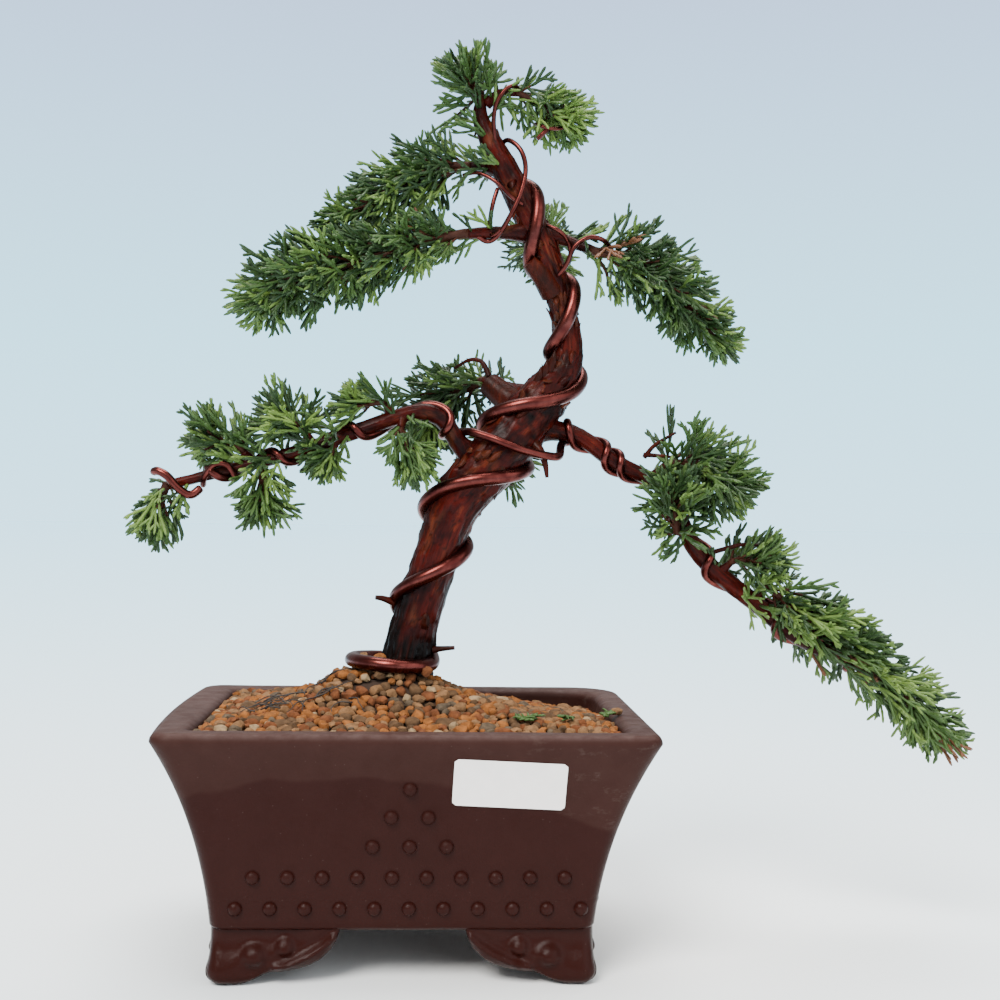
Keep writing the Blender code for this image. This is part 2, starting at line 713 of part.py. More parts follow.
def cut_level(thing, height):
    """Cuts the mesh flat at a height and closes it."""
    bm = bmesh.new()
    bm.from_mesh(thing.data)
    whole = [*bm.verts, *bm.edges, *bm.faces]
    place = Vector((0, 0, height * MM))
    cut = bmesh.ops.bisect_plane(bm, geom=whole, plane_co=place, plane_no=(0, 0, 1), clear_inner=True)
    edges = [part for part in cut["geom_cut"] if isinstance(part, bmesh.types.BMEdge)]
    bmesh.ops.edgeloop_fill(bm, edges=edges)
    bmesh.ops.recalc_face_normals(bm, faces=bm.faces)
    bm.to_mesh(thing.data)
    bm.free()


def make_limbs(collection, cutters, root):
    """Every limb's solid; returns their paths by name."""
    paths = {"trunk": smooth_path(TRUNK)}
    trunk = limb("trunk", paths["trunk"], 3, collection, root)
    cut_level(trunk, TRUNK_FOOT)
    trunk_cutter = clearance("trunk_clearance", paths["trunk"], 3, cutters, root)
    left_root, left_bough = split_path(smooth_path(LEFT_BOUGH), LEFT_BOUGH[LEFT_BEND])
    right_inner, right_outer = split_path(smooth_path(RIGHT_BOUGH), RIGHT_BOUGH[RIGHT_BEND])
    paths["left_bough_root"] = left_root
    paths["left_bough"] = left_bough
    paths["right_bough_inner"] = right_inner
    paths["right_bough_outer"] = right_outer
    for name, keys in BOUGHS.items():
        paths[name] = smooth_path(keys)
    rooted = ["left_bough_root", "right_bough_inner", *BOUGHS]
    for name in rooted:
        limb(name, paths[name], 2, collection, root, trunk_cutter)
    for name in ("left_bough", "right_bough_outer"):
        limb(name, paths[name], 2, collection, root)
    for name, (carrier, *keys) in SIDE_BOUGHS.items():
        paths[name] = smooth_path(keys)
        cutter = clearance(f"{name}_clearance", paths[carrier], 2, cutters, root)
        limb(name, paths[name], 1, collection, root, cutter)
    return paths


def coil(path, crossings, distance, lead=None):
    """Points of a wire round a limb: it passes over the front at each crossing and behind in between.

    With a lead, it starts half a turn before the first crossing, at that length along the limb.
    """
    total = lengths_along(path)
    sides = [spot for centre in crossings for spot in (centre - CROSSING, centre + CROSSING)]
    first = 0
    if lead is not None:
        sides.insert(0, lead)
        first = -1
    steps = WIRE_STEPS_PER_TURN // 2
    points = []
    for i in range(steps * (len(sides) - 1) + 1):
        half = i / steps
        index = index_where(total, blend(sides, half))
        points.append(beside(path, index, (half + first) / 2, distance))
    return points


def blend(values, position):
    """A smooth curve through evenly spaced values, read at a fractional position."""
    i = min(max(int(math.floor(position)), 0), len(values) - 2)
    t = position - i
    a = values[max(i - 1, 0)]
    b, c = values[i], values[i + 1]
    d = values[min(i + 2, len(values) - 1)]
    return 0.5 * (2 * b + (c - a) * t + (2 * a - 5 * b + 4 * c - d) * t**2 + (3 * b - a - 3 * c + d) * t**3)


def trunk_coil(path):
    """The thick wire: a loop on the soil, then up round the trunk."""
    heights = [place.z for place, _ in path]
    extras = [*TRUNK_WIRE_EXTRA, *[0.0] * (len(TRUNK_WIRE_HEIGHTS) - len(TRUNK_WIRE_EXTRA))]
    count = round((TRUNK_WIRE_END - TRUNK_WIRE_START) / 2 * WIRE_STEPS_PER_TURN)
    points = []
    for i in range(count + 1):
        half = TRUNK_WIRE_START + (TRUNK_WIRE_END - TRUNK_WIRE_START) * i / count
        steady = max(half, 0.0)
        index = index_where(heights, blend(TRUNK_WIRE_HEIGHTS, steady))
        points.append(beside(path, index, half / 2, TRUNK_WIRE_RADIUS + WIRE_SLACK + blend(extras, steady)))
    return points


def wire(name, points, radius, collection, root):
    thing = tube(name, [(place, radius) for place in points], 1, collection)
    thing.data.materials.append(make_material(f"{name}_copper", "copper"))
    thing.parent = root
    return points, radius


def make_wires(paths, collection, root):
    """The three wires; returns their (points, radius)."""
    left = [*paths["left_bough_root"], *paths["left_bough"]]
    right = [*paths["right_bough_inner"], *paths["right_bough_outer"]]
    distance = BOUGH_WIRE_RADIUS + WIRE_SLACK
    left_coil = coil(left, LEFT_WIRE_CROSSINGS, distance, LEFT_WIRE_LEAD)
    right_coil = coil(right, RIGHT_WIRE_CROSSINGS, distance, RIGHT_WIRE_LEAD)
    second_coil = coil(right, SECOND_WIRE_CROSSINGS, distance)
    bridge = [Vector(point) for point in WIRE_BRIDGE]
    joined = [*reversed(left_coil), *bridge, *right_coil]
    return [
        wire("trunk_wire", trunk_coil(paths["trunk"]), TRUNK_WIRE_RADIUS, collection, root),
        wire("bough_wire", joined, BOUGH_WIRE_RADIUS, collection, root),
        wire("second_wire", second_coil, BOUGH_WIRE_RADIUS, collection, root),
    ]


# ---- foliage ----


class Space:
    """The room that one mass keeps to: all that lies within reach of its stem."""

    def __init__(self, spread, keys):
        self.spread = Vector(spread)
        self.spine = [(self.shrunk(Vector(key[:3])), key[3]) for key in keys]

    def shrunk(self, place):
        return Vector(value / wide for value, wide in zip(place, self.spread))

    def depth(self, place):
        """How far inside the space a place lies, negative outside."""
        spot = self.shrunk(place)
        best = -math.inf
        for (a, reach_a), (b, reach_b) in zip(self.spine, self.spine[1:]):
            along = b - a
            t = min(1.0, max(0.0, (spot - a).dot(along) / along.length_squared))
            best = max(best, reach_a + (reach_b - reach_a) * t - (spot - a - along * t).length)
        return best


class Room:
    """Tells whether a twig or leaf of one mass has room, clear of other masses, limbs and wires."""

    def __init__(self, name, spaces, solids):
        self.own = spaces[name]
        self.others = [space for other, space in spaces.items() if other != name]
        self.solids = solids
        self.tree = kdtree.KDTree(len(solids))
        for i, (place, _) in enumerate(solids):
            self.tree.insert(place, i)
        self.tree.balance()
        self.widest = max(radius for _, radius in solids)

    def is_free(self, place, radius):
        inside = self.own.depth(place)
        if inside < 0:
            return False
        if any(inside - other.depth(place) < 2 * radius + GAP for other in self.others):
            return False
        near = self.tree.find_range(place, self.widest + radius + GAP)
        return all(apart > self.solids[i][1] + radius + GAP for _, i, apart in near)

    def has(self, base, tip, radius):
        return all(self.is_free(base.lerp(tip, share), radius) for share in (0.0, 0.25, 0.5, 0.75, 1.0))


def spike(collection, base, tip, base_radius, tip_radius, roll):
    """A three-sided twig or leaf from base to tip."""
    along = tip - base
    bm = bmesh.new()
    bmesh.ops.create_cone(
        bm, cap_ends=True, segments=3, radius1=base_radius, radius2=tip_radius, depth=along.length
    )
    turn = along.to_track_quat("Z", "Y").to_matrix().to_4x4() @ Matrix.Rotation(roll, 4, "Z")
    bmesh.ops.transform(bm, matrix=Matrix.Translation((base + tip) / 2) @ turn, verts=bm.verts)
    add_object("spike", mesh_from(bm, "spike"), collection)


def across(along, angle):
    """A unit vector square to along, turned by angle about it."""
    side = along.orthogonal().normalized()
    return Matrix.Rotation(angle, 3, along) @ side


def way_out(space, base, direction):
    """The distance from base to the edge of the space, up to WAY_OUT_MAX."""
    distance = 0.0
    while distance < WAY_OUT_MAX and space.depth(base + direction * distance) > 0:
        distance += 1.0
    return distance


def add_leaf(parts, room, root, direction, rng):
    """Adds the longest leaf that has room, its root sunk into the twig."""
    for length in LEAF_LENGTHS:
        tip = root + direction * length * rng.uniform(0.9, 1.1)
        if room.has(root, tip, LEAF_RADIUS):
            base = root - direction * LEAF_SUNK
            spike(parts, base, tip, LEAF_RADIUS, LEAF_TIP_RADIUS, rng.uniform(0, math.tau))
            return


def add_twig(parts, room, base, direction, length, rng):
    """A twig with leaves in turn at either side and one at its end."""
    tip = base + direction * length
    if not room.has(base.lerp(tip, 0.3), tip, TWIG_RADIUS):
        return
    spike(parts, base, tip, TWIG_RADIUS, TWIG_TIP_RADIUS, rng.uniform(0, math.tau))
    count = max(1, round(length / LEAF_SPACING))
    plane = rng.uniform(0, math.tau)
    for i in range(count):
        root = base.lerp(tip, (i + 0.6) / count)
        side = across(direction, plane + math.pi * i + rng.uniform(-0.5, 0.5))
        add_leaf(parts, room, root, (direction * LEAF_FORWARD + side).normalized(), rng)
    swing = across(direction, rng.uniform(0, math.tau)) * 0.2
    add_leaf(parts, room, tip, (direction + swing).normalized(), rng)


def grow_mass(name, paths, room, collection, root, rng):
    """One mass: pairs of twigs up its stem, all joined into one body."""
    carrier, _, *keys = MASSES[name]
    tip, tip_radius = paths[carrier][-1]
    end = tangent(paths[carrier], len(paths[carrier]) - 1)
    start = tip + end * GAP
    rows = [(*start, tip_radius * 0.9), (*(start + end * STEM_LEAD), tip_radius * 0.9)]
    for i, key in enumerate(keys[1:]):
        thin = tip_radius + (STEM_TIP_RADIUS - tip_radius) * (i + 1) / (len(keys) - 1)
        rows.append((*key[:3], thin))
    stem = smooth_path(rows)
    total = lengths_along(stem)
    parts = make_collection(f"{name}_parts")
    pairs = max(2, round(total[-1] / STEM_STEP))
    for pair in range(pairs + 1):
        index = index_where(total, total[-1] * (0.12 + 0.88 * pair / pairs))
        i = min(int(index), len(stem) - 2)
        base = stem[i][0].lerp(stem[i + 1][0], index - i)
        along = tangent(stem, i)
        for half in (0, 1):
            side = across(along, pair * TURN_PER_PAIR + half * math.pi + rng.uniform(-0.35, 0.35))
            direction = (along * TWIG_FORWARD + side).normalized()
            length = way_out(room.own, base, direction) * TWIG_SHARE * rng.uniform(0.85, 1.1)
            if length > TWIG_MIN:
                add_twig(parts, room, base, direction, min(length, TWIG_MAX), rng)
    add_leaf(parts, room, stem[-1][0], tangent(stem, len(stem) - 1), rng)
    guide = tube(name, stem, 0, collection)
    mesh = as_mesh(guide, weld=True)
    bpy.data.objects.remove(guide)
    return fuse(name, mesh, parts, collection, root, "foliage")


def make_foliage(paths, wires, collection, root):
    spaces = {name: Space(spread, keys) for name, (_, spread, *keys) in MASSES.items()}
    solids = [spot for path in paths.values() for spot in path]
    solids += [(place, radius) for points, radius in wires for place in points]
    for name in MASSES:
        rng = random.Random(f"{SEED}{name}")
        grow_mass(name, paths, Room(name, spaces, solids), collection, root, rng)


def main():
    clear_scene()
    collection = make_collection(MODEL_NAME)
    cutters = make_collection("cutters")
    root = bpy.data.objects.new("plant_root", None)
    root.location = (POT_X * MM, POT_Y * MM, 0)
    collection.objects.link(root)
    make_pot(collection, root)
    make_soil(collection, root)
    make_label(collection, root)
    paths = make_limbs(collection, cutters, root)
    wires = make_wires(paths, collection, root)
    make_foliage(paths, wires, collection, root)


main()
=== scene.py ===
"""The looks of a wired juniper bonsai in a footed clay pot.

Lengths are millimetres in the pot's own frame: X to the right along the pot's long side, Y to the back, Z up
from the ground under its feet, with the pot's centre at X = Y = 0. Shapes are moved to the part's frame, in
metres, as they are made.
"""

import math
import random

import bmesh
import bpy
import numpy as np
from mathutils import Matrix, Vector, kdtree, noise


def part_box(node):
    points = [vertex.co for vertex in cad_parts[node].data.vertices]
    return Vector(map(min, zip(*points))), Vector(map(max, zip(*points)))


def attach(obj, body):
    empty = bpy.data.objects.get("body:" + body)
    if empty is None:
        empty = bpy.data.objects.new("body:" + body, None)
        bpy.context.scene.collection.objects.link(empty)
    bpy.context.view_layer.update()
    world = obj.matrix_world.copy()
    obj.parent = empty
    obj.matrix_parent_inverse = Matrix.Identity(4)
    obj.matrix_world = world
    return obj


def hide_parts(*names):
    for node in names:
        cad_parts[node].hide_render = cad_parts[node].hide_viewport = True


MM = 0.001
SEED = 7

# Camera, in the pot's frame: where it stands and how it is turned
CAMERA_PLACE = (6.5, -571.9, 170.9)
CAMERA_YAW = math.radians(2.83)
CAMERA_PITCH = math.radians(0.60)
CAMERA_ROLL = math.radians(0.74)
CAMERA_LENS = 50.68
CAMERA_SENSOR = 36.0  # its width, mm
CAMERA_CLIP = (0.01, 20.0)  # metres

# Limbs: (x, y, z, radius) at each bend, from the root to the tip
TRUNK = (
    (-2.5, 1, 104, 11.6),
    (-2.0, 1, 112, 10.2),
    (1.5, 1, 128, 9.8),
    (8.8, -1, 152, 9.5),
    (17, -2, 175, 10.8),
    (34, -2, 196, 12.3),
    (50, 1, 216, 10.8),
    (61.3, 3, 234, 7.0),
    (59.4, 2, 256, 5.6),
    (51, 0, 279, 6.5),
    (41, -1, 300, 6.0),
    (31, 0, 319, 5.0),
    (25, 1, 333, 3.2),
    (25, 1, 342, 1.8),
)
LEFT_BOUGH = (
    (31, -2, 187, 4.6),
    (19, -4, 198, 3.8),
    (9, -7, 210, 3.5),
    (-5, -9, 210, 3.3),
    (-46, -10, 195, 2.8),
    (-97, -8, 181, 2.0),
)
RIGHT_BOUGH = (
    (42, 1, 206, 4.4),
    (54, 2, 206, 3.9),
    (67, 0, 203, 3.7),
    (81, -2, 193, 3.4),
    (101, -3, 182, 3.1),
    (116, -4, 156, 3.7),
    (139, -6, 136, 3.6),
    (157, -8, 122, 3.2),
    (182, -8, 111, 2.4),
)
BOUGHS = {
    "upper_left_low_bough": ((47, -1, 286, 3.0), (33, -4, 285, 2.6), (20, -6, 284, 2.1)),
    "upper_left_high_bough": ((35, 0, 311, 2.6), (27, 2, 313, 2.1), (21, 3, 313.5, 1.8)),
    "upper_right_bough": ((46, 1, 288, 3.0), (60, -1, 283, 2.4), (70, -4, 279, 2.0)),
    "upper_back_bough": ((50, 0, 283, 3.0), (52, 12, 285, 2.4), (53, 22, 287, 2.0)),
    "middle_back_bough": ((49, 2, 217, 5.0), (38, 14, 222, 4.4), (29, 25, 227, 2.4)),
    "low_back_bough": ((27, -1, 186, 4.0), (31, 14, 189, 3.0), (35, 27, 195, 2.2)),
    "apex_right_side": ((27, 1, 338, 1.6), (32, 0, 343, 1.5), (39, 0, 343, 1.4)),
    "left_hanging_side": ((-60, -9.5, 191, 1.8), (-60, -13, 185.5, 1.4)),
    "left_outer_side": ((-65, -9, 190, 1.8), (-67.5, -10, 194.5, 1.5)),
    "left_inner_side": ((-41, -10, 197, 1.9), (-43, -11, 202, 1.5)),
    "left_knee_top_side": ((-9, -9, 209, 1.7), (-11.5, -10, 214, 1.4)),
    "left_knee_low_side": ((-5, -9, 210, 1.7), (-5.5, -12.5, 204.5, 1.4)),
    "left_under_side": ((-31, -10, 201, 1.5), (-32, -12, 196, 1.2)),
    "right_first_side": ((95, -3, 185, 2.4), (101, -6, 191, 2.0)),
    "right_front_side": ((111, -4, 164.5, 1.9), (106, -11, 165, 1.6)),
    "right_small_side": ((124, -5, 148, 1.7), (128, -7, 152.5, 1.4)),
    "right_third_side": ((137.5, -6, 137.5, 1.9), (141.5, -8, 142.5, 1.6)),
}

# Foliage: the limb whose tip each mass grows from, its space's shape (how wide along X, Y and Z), then the
# stem's points after that tip with the reach of the space around each
WIDE = (1.0, 1.4, 1.0)
BACK = (1.4, 1.0, 1.0)
ROUND = (1.0, 1.15, 1.0)
MASSES = {
    "apex_top": ("trunk", ROUND, (20, 1, 331, 12), (23, 1, 341, 15), (20, 0, 347, 12)),
    "apex_right": ("apex_right_side", WIDE, (40, 0, 341, 9), (51, 0, 338, 10), (60, -1, 332, 9)),
    "upper_left_high": (
        "upper_left_high_bough", WIDE,
        (22, 2, 315, 16), (10, 3, 313, 15), (-4, 3, 307, 13.5), (-16, 3, 299, 10.5), (-27, 3, 293, 7.5),
        (-37, 2, 289, 4.5),
    ),
    "upper_left_low": (
        "upper_left_low_bough", WIDE,
        (22, -6, 285, 9.5), (6, -7, 281, 9.5), (-10, -8, 276, 11.5), (-28, -8, 270, 13.5),
        (-44, -8, 266, 15.5), (-55, -8, 260.5, 16), (-59, -8, 257, 13),
    ),
    "upper_right": (
        "upper_right_bough", WIDE,
        (71, -4, 278, 13), (84, -6, 275, 15.5), (96, -6, 269, 15.5), (107, -6, 259, 13), (115, -6, 250, 9.5),
        (122, -6, 243, 6.5),
    ),
    "upper_back": ("upper_back_bough", BACK, (53, 23, 287, 12), (54, 36, 289, 17), (55, 50, 288, 15)),
    "left_tip": ("left_bough", WIDE, (-89, -8, 176, 11), (-100, -8, 171, 11)),
    "left_hanging": ("left_hanging_side", ROUND, (-60, -14, 185, 12), (-59, -15, 178, 12)),
    "left_outer": ("left_outer_side", WIDE, (-68, -10, 195, 12), (-78, -9, 199.5, 13)),
    "left_inner": ("left_inner_side", WIDE, (-40, -11, 202, 15), (-49, -10, 206.5, 15)),
    "left_knee_top": ("left_knee_top_side", WIDE, (-14, -10, 213, 8.5), (-21, -10, 213.5, 9.5)),
    "left_knee_low": ("left_knee_low_side", WIDE, (-1, -13, 204, 12), (-2, -13, 197, 12)),
    "left_under": ("left_under_side", WIDE, (-32.5, -12, 198, 8), (-34, -12, 194, 7)),
    "middle_back": ("middle_back_bough", BACK, (28, 26, 227.5, 11), (12, 37, 220.5, 18), (6, 36, 211.5, 16)),
    "low_back": ("low_back_bough", BACK, (35.5, 28, 196, 10), (37, 45, 196, 17)),
    "right_first": (
        "right_first_side", WIDE, (103, -7, 196, 14), (113.5, -9, 192.5, 19), (124, -10, 185, 16.5),
    ),
    "right_front": ("right_front_side", ROUND, (108.5, -13, 168, 13), (103, -17, 178.5, 12.5)),
    "right_small": ("right_small_side", WIDE, (129, -7.5, 153.5, 9), (140, -9, 153, 11)),
    "right_third": (
        "right_third_side", WIDE, (142.5, -8.5, 141, 11), (156, -9, 132, 15), (170, -9, 122, 15),
        (182, -9, 115, 12),
    ),
    "right_tip": (
        "right_bough", WIDE, (183.5, -8, 109.5, 10), (196, -8, 102.5, 11), (206.5, -8, 93, 11),
        (213.5, -8, 85.5, 8.5),
    ),
}

# The growing rule: rings of twigs up a stem, each with fronds in turn along it and one at its end. A frond
# is a flat fan: a cord of scale leaves that runs on, with shorter ones leaving it in turn at either side.
STEM_LEAD = 1.5
STEM_END_RADIUS = 0.7
STEM_STEP = 3.3
TURN_PER_RING = math.radians(74)
TWIG_FORWARD = (0.7, 1.7)
TWIG_SHARE = (0.15, 0.58)
TWIG_MIN, TWIG_MAX = 1.5, 17.0
TWIG_RADIUS = 0.62
TWIG_TIP_RADIUS = 0.42
FROND_SPACING = 4.6
FROND_LENGTH = (11.0, 25.0)
FROND_STEP = (2.8, 4.9)
RAGGED = 7.0  # how far single cords may poke out of the space
LIMB_REACH = 14.0  # limbs whose middle is further away than this aren't near
LIMB_FROND_STEP = 3.4
LIMB_FROND_MOST = 5.1  # no fronds grow from a limb thicker than this radius
CORD_RADIUS = (0.64, 0.82)
CORD_SIDES, SHOOT_SIDES, TWIG_SIDES, STEM_SIDES = 5, 4, 5, 10
LONG_CORD = 5.0  # a shorter one is a shoot
SHOOTS_FROM = 6.0  # the length from which a side cord has shoots
# The cord's outline: radius at each share of its length, swelling a little at each whorl of scales
CORD_SHAPE = (
    (0.0, 0.8), (0.14, 1.0), (0.3, 0.86), (0.46, 1.0), (0.62, 0.84), (0.77, 0.94), (0.91, 0.78), (1.0, 0.3),
)
SHOOT_SHAPE = ((0.0, 0.85), (0.35, 1.0), (0.75, 0.85), (1.0, 0.3))
# Masses whose fronds hang or reach one way, and those that are sparse
LEANS = {
    "left_knee_low": (0.0, -0.1, -0.75),
    "left_hanging": (0.0, 0.0, -0.45),
    "left_under": (0.0, 0.0, -0.4),
    "left_tip": (-0.2, 0.0, -0.5),
    "left_knee_top": (-0.35, 0.0, 0.25),
    "left_outer": (-0.25, 0.0, 0.15),
    "apex_top": (-0.2, 0.0, 0.1),
    "upper_left_high": (-0.1, 0.0, -0.1),
    "right_third": (0.2, 0.0, -0.05),
    "right_tip": (0.3, 0.0, -0.2),
}
DENSITIES = {
    "left_tip": 0.5, "left_knee_top": 0.6, "left_knee_low": 0.7, "left_under": 0.5, "upper_back": 0.7,
}

# Foliage colours by kind: base colour
GREENS = {
    "deep": (0.019, 0.043, 0.0095),
    "middle": (0.042, 0.083, 0.0165),
    "fresh": (0.092, 0.152, 0.0300),
    "bright": (0.120, 0.190, 0.0330),
    "dead": (0.120, 0.045, 0.018),
}
KINDS = list(GREENS)
# The share of sprays of each kind, and the masses that differ
USUAL_KINDS = (0.28, 0.39, 0.27, 0.05, 0.01)
MASS_KINDS = {
    "apex_right": (0.05, 0.15, 0.35, 0.45, 0.0),
    "apex_top": (0.25, 0.40, 0.28, 0.07, 0.0),
    "left_hanging": (0.22, 0.30, 0.25, 0.23, 0.0),
    "left_tip": (0.28, 0.38, 0.24, 0.07, 0.03),
    "right_third": (0.17, 0.37, 0.34, 0.09, 0.03),
    "right_tip": (0.16, 0.36, 0.37, 0.10, 0.01),
    "left_outer": (0.20, 0.34, 0.34, 0.11, 0.01),
    "upper_right": (0.32, 0.38, 0.24, 0.055, 0.005),
    "upper_back": (0.20, 0.36, 0.30, 0.14, 0.0),
}

# The trunk's marks and its painted shade on the left: heights, and stretches along it as (middle, half
# length)
KNOTTY = (118.0, 22.0)
FLAKY = (185.0, 45.0)
BLACK_FOOT_TOP = 127.0
# the top of the rough lower left side, painted black as shade
ROUGH_SHADED_LEFT_TOP = 153.0
CRACK_WIDTH = 0.075
TRUNK_STEP = 0.9  # between the rows of its bark
TRUNK_SIDES, BOUGH_SIDES, SIDE_BOUGH_SIDES = 112, 40, 24
THICK_BOUGH = 3  # the radius at its root from which a bough has more sides
# About the radius of the limb that carries a main bough, another bough and a side bough, where its collar
# starts, and how much the collar swells
MAIN_CARRIER, BOUGH_CARRIER, SIDE_CARRIER = 11.0, 5.5, 2.5
COLLAR_SWELL = 0.45
# Curled plates of peeling bark: how many, along which stretch of the trunk, and their outline as (share of
# the length, of the width)
FLAKE_COUNT = 105
FLAKE_FROM, FLAKE_TO = 14.0, 262.0
FLAKE_SHAPE = ((0.0, 0.75), (0.35, 1.0), (0.7, 0.8), (1.0, 0.25))

STUB_STEP, STUB_SIDES = 0.8, 14
# Cut stubs, snags and knots: (x, y, z, radius) from the limb outwards
STUBS = (
    ((-8, 0, 135, 1.6), (-12, -2, 136.5, 1.2), (-15, -3, 137, 0.9)),
    ((8, -2, 116, 1.6), (12, -2, 116.5, 1.1), (17, -3, 117, 0.8)),
    ((47, -6, 200, 2.6), (50, -9, 197, 1.8), (52, -10.5, 192, 1.3), (53, -10.5, 186, 0.7)),
    ((55, 0, 262, 5.2), (50, -4, 268, 4.2), (45, -6, 273, 3.2)),
    ((44, 2, 214, 6.6), (37, 5, 219, 5.8), (30, 9, 225, 5.0)),
    ((25, -9, 186, 2.4), (25, -12.5, 186.5, 1.7)),
    ((34, -10, 188.5, 2.8), (34, -13.4, 189, 2.0)),
    ((28, -10, 194, 2.2), (28, -13.2, 194.5, 1.5)),
    ((30, 8, 228, 1.3), (27, 10, 234, 1.0), (22, 12, 235, 0.8), (16, 16, 232, 0.6)),
    ((49, -3, 224, 2.4), (50, -5, 228, 1.4), (50.5, -5, 231, 0.3)),
    ((51.5, -3, 227, 2.4), (52.5, -5, 231, 1.4), (53, -5, 234, 0.3)),
    ((54, -3, 230, 2.4), (55.5, -5, 234.5, 1.3), (56, -5, 237.5, 0.3)),
    ((93, -4, 195, 1.0), (97, -7, 200, 0.8), (105, -9, 205, 0.5)),
    ((93, -4, 196, 1.0), (98, -8, 195.5, 0.8), (104, -9, 195, 0.5)),
    ((122, -5, 157, 1.0), (132, -8, 160, 0.8), (139, -9, 160, 0.5)),
)

# Wires. The thick one's height is given at each half turn round the trunk, with how much further it stands
# off at the first ones, and the half turns where it starts and ends
TRUNK_WIRE_RADIUS = 2.9
BOUGH_WIRE_RADIUS = 1.7
TRUNK_WIRE_HEIGHTS = (109.5, 114, 134, 160, 170, 198, 201, 230, 238, 263, 275, 300, 314)
TRUNK_WIRE_EXTRA = (11.0, -0.8)
TRUNK_WIRE_START = -0.35
TRUNK_WIRE_END = 11.6
WIRE_BITE = -2.1  # how far the thick wire lies off the trunk: it has bitten in
BOUGH_WIRE_BITE = WIRE_BITE * 0.45
WIRE_STEPS = 40  # a turn
TRUNK_WIRE_SIDES, BOUGH_WIRE_SIDES, THIN_WIRE_SIDES = 20, 14, 10
WIRE_END = 0.82  # a cut end's radius as a share of the wire's
# The others: the lengths along a bough where they pass over its front, and where they start. A crossing
# takes CROSSING either way.
CROSSING = 3.5
LEFT_WIRE_CROSSINGS = (28.5, 66, 98, 124)
LEFT_WIRE_LEAD = 21.0
RIGHT_WIRE_CROSSINGS = (39, 70, 101, 137, 168)
RIGHT_WIRE_LEAD = 18.5
SECOND_WIRE_CROSSINGS = (22.5, 46, 76)
WIRE_BRIDGE = ((22, -11, 204), (31, -15.5, 201), (41, -17, 197), (49, -15, 195), (58, -10, 194))
# Thin wires: (radius, points)
THIN_WIRES = {
    "apex_loop": (
        0.9, ((31, -3, 322), (30, -5, 330), (31, -6, 337), (35, -6, 343), (39, -3, 345), (41, 2, 343)),
    ),
    "apex_side": (
        0.8, ((47, 2, 331), (48, -5, 329), (52, -7, 327), (58, -5, 328), (62, -2, 332), (60, 2, 335)),
    ),
    "apex_cut": (1.0, ((52, -6, 327), (50, -7, 325), (47.5, -7, 322.5))),
    "upper_loop": (
        1.0,
        ((33, 4, 322), (36, -3, 323), (41, -7, 318), (43, -8, 310), (41, -9, 300), (37, -9, 291),
         (32, -7, 283), (28, -5, 281), (24, -6, 283)),
    ),
    "upper_ring": (0.9, ((32, -4, 303), (30, -5, 296), (29, -5, 288), (30, -7, 283), (33, -9, 285))),
    "upper_short": (0.8, ((18, 0, 309), (24, -4, 309), (31, -7, 305), (37, -8, 299), (42, -7, 296))),
    "upper_right_loop": (
        1.0, ((57, -6, 268), (60, -8, 272), (63, -9, 279), (69, -9, 283), (75, -8, 282), (79, -3, 279)),
    ),
    "upper_right_back": (
        0.9, ((52, -6, 288), (56, -8, 286), (60, -6, 283), (62, -3, 278), (61, -5, 273), (58, -7, 271)),
    ),
    "left_hook": (
        BOUGH_WIRE_RADIUS,
        ((-84, -11, 180), (-88, -12.5, 177), (-93, -13, 180), (-97, -13, 184.5), (-101, -12, 186.5),
         (-103, -10, 186)),
    ),
    "left_loop": (
        1.3, ((-70, -12, 184), (-74, -13.5, 189.5), (-79, -12, 189), (-83, -10, 184), (-84, -6, 181)),
    ),
}

# Pot
POT_LENGTH = 183.0
POT_DEPTH = 145.6
POT_HEIGHT = 92.5
BODY_BOTTOM = 20.0
FLARE_LENGTH = 21.6
SKEW = -1.45  # the body leans this far to the left at its bottom
FLARE_DEPTH = 13.0
FLARE_STRAIGHT = 0.35
FLARE_POWER = 2.2
RIM_WIDTH = 12.5
LIP = 3.6  # the rounding of the rim's outer edge
INNER_LIP = 4.2
WALL = 9.0
FLOOR_THICKNESS = 8.0
NECK_HEIGHT = 74.0
CORNER_RADIUS = 5.0
RIM_CORNERS = (6.5, 7.5, 20.0)  # the rim's corner radii in front, at the back left and at the back right
LEFT_BOW = 3.2  # the rim's left side bows out this far at its middle
LEFT_SPREAD = 3.4  # and its back corner stands this far out
CORNER_STEPS = 8
SIDE_PARTS = 24
WALL_RINGS, LIP_RINGS = 28, 7
FOOT_LENGTH = 47.0
FOOT_THICKNESS = 11.0
FOOT_TOP = 21.0
FOOT_WAIST = 2.2  # how far the foot lies back just under the body
# The foot's lower edge seen square on: (along the wall from the corner, up)
FOOT_EDGE = (
    (0, 2.6), (1, 1.2), (3, 0.2), (6, 0), (10, 0), (13, 0.5), (17, 2.0), (20, 3.6), (22, 4.1), (26, 4.3),
    (32, 5.3), (36.5, 6.8), (40.3, 8.8), (44, 12.4), (46, 15.6), (47, 19.0),
)
FOOT_KNOBS = ((16.3, 10.9, 4.6, 2.1), (27.5, 14.0, 3.7, 1.9))  # (along, up, radius, height) of the scrolls
FOOT_RIDGE = ((24, 6.6), (28, 7.4), (32, 8.8), (37, 11.2), (41, 13.8), (45, 17.2))
TOE = (7.2, 7.2, 4.5)  # the middle of the round toe from the corner, and its height
TOE_SIZE = (7.7, 7.7, 4.5)
TOE_SWELL = 1.2  # how far the toe swells past the corner
SIDE_FOOT_START = 4.6  # a side apron starts this far from the corner, behind the front one's round end
FOOT_GRID = (62, 22)
BOSS_ROWS = ((28.0, 11, 8), (39.5, 10, 7), (51.0, 3, 2), (62.0, 2, 1), (72.5, 1, 0))
BOSS_SPACING = 12.5
BOSS_UPPER_SPACING = 13.3
BOSS_SHIFT = 0.7
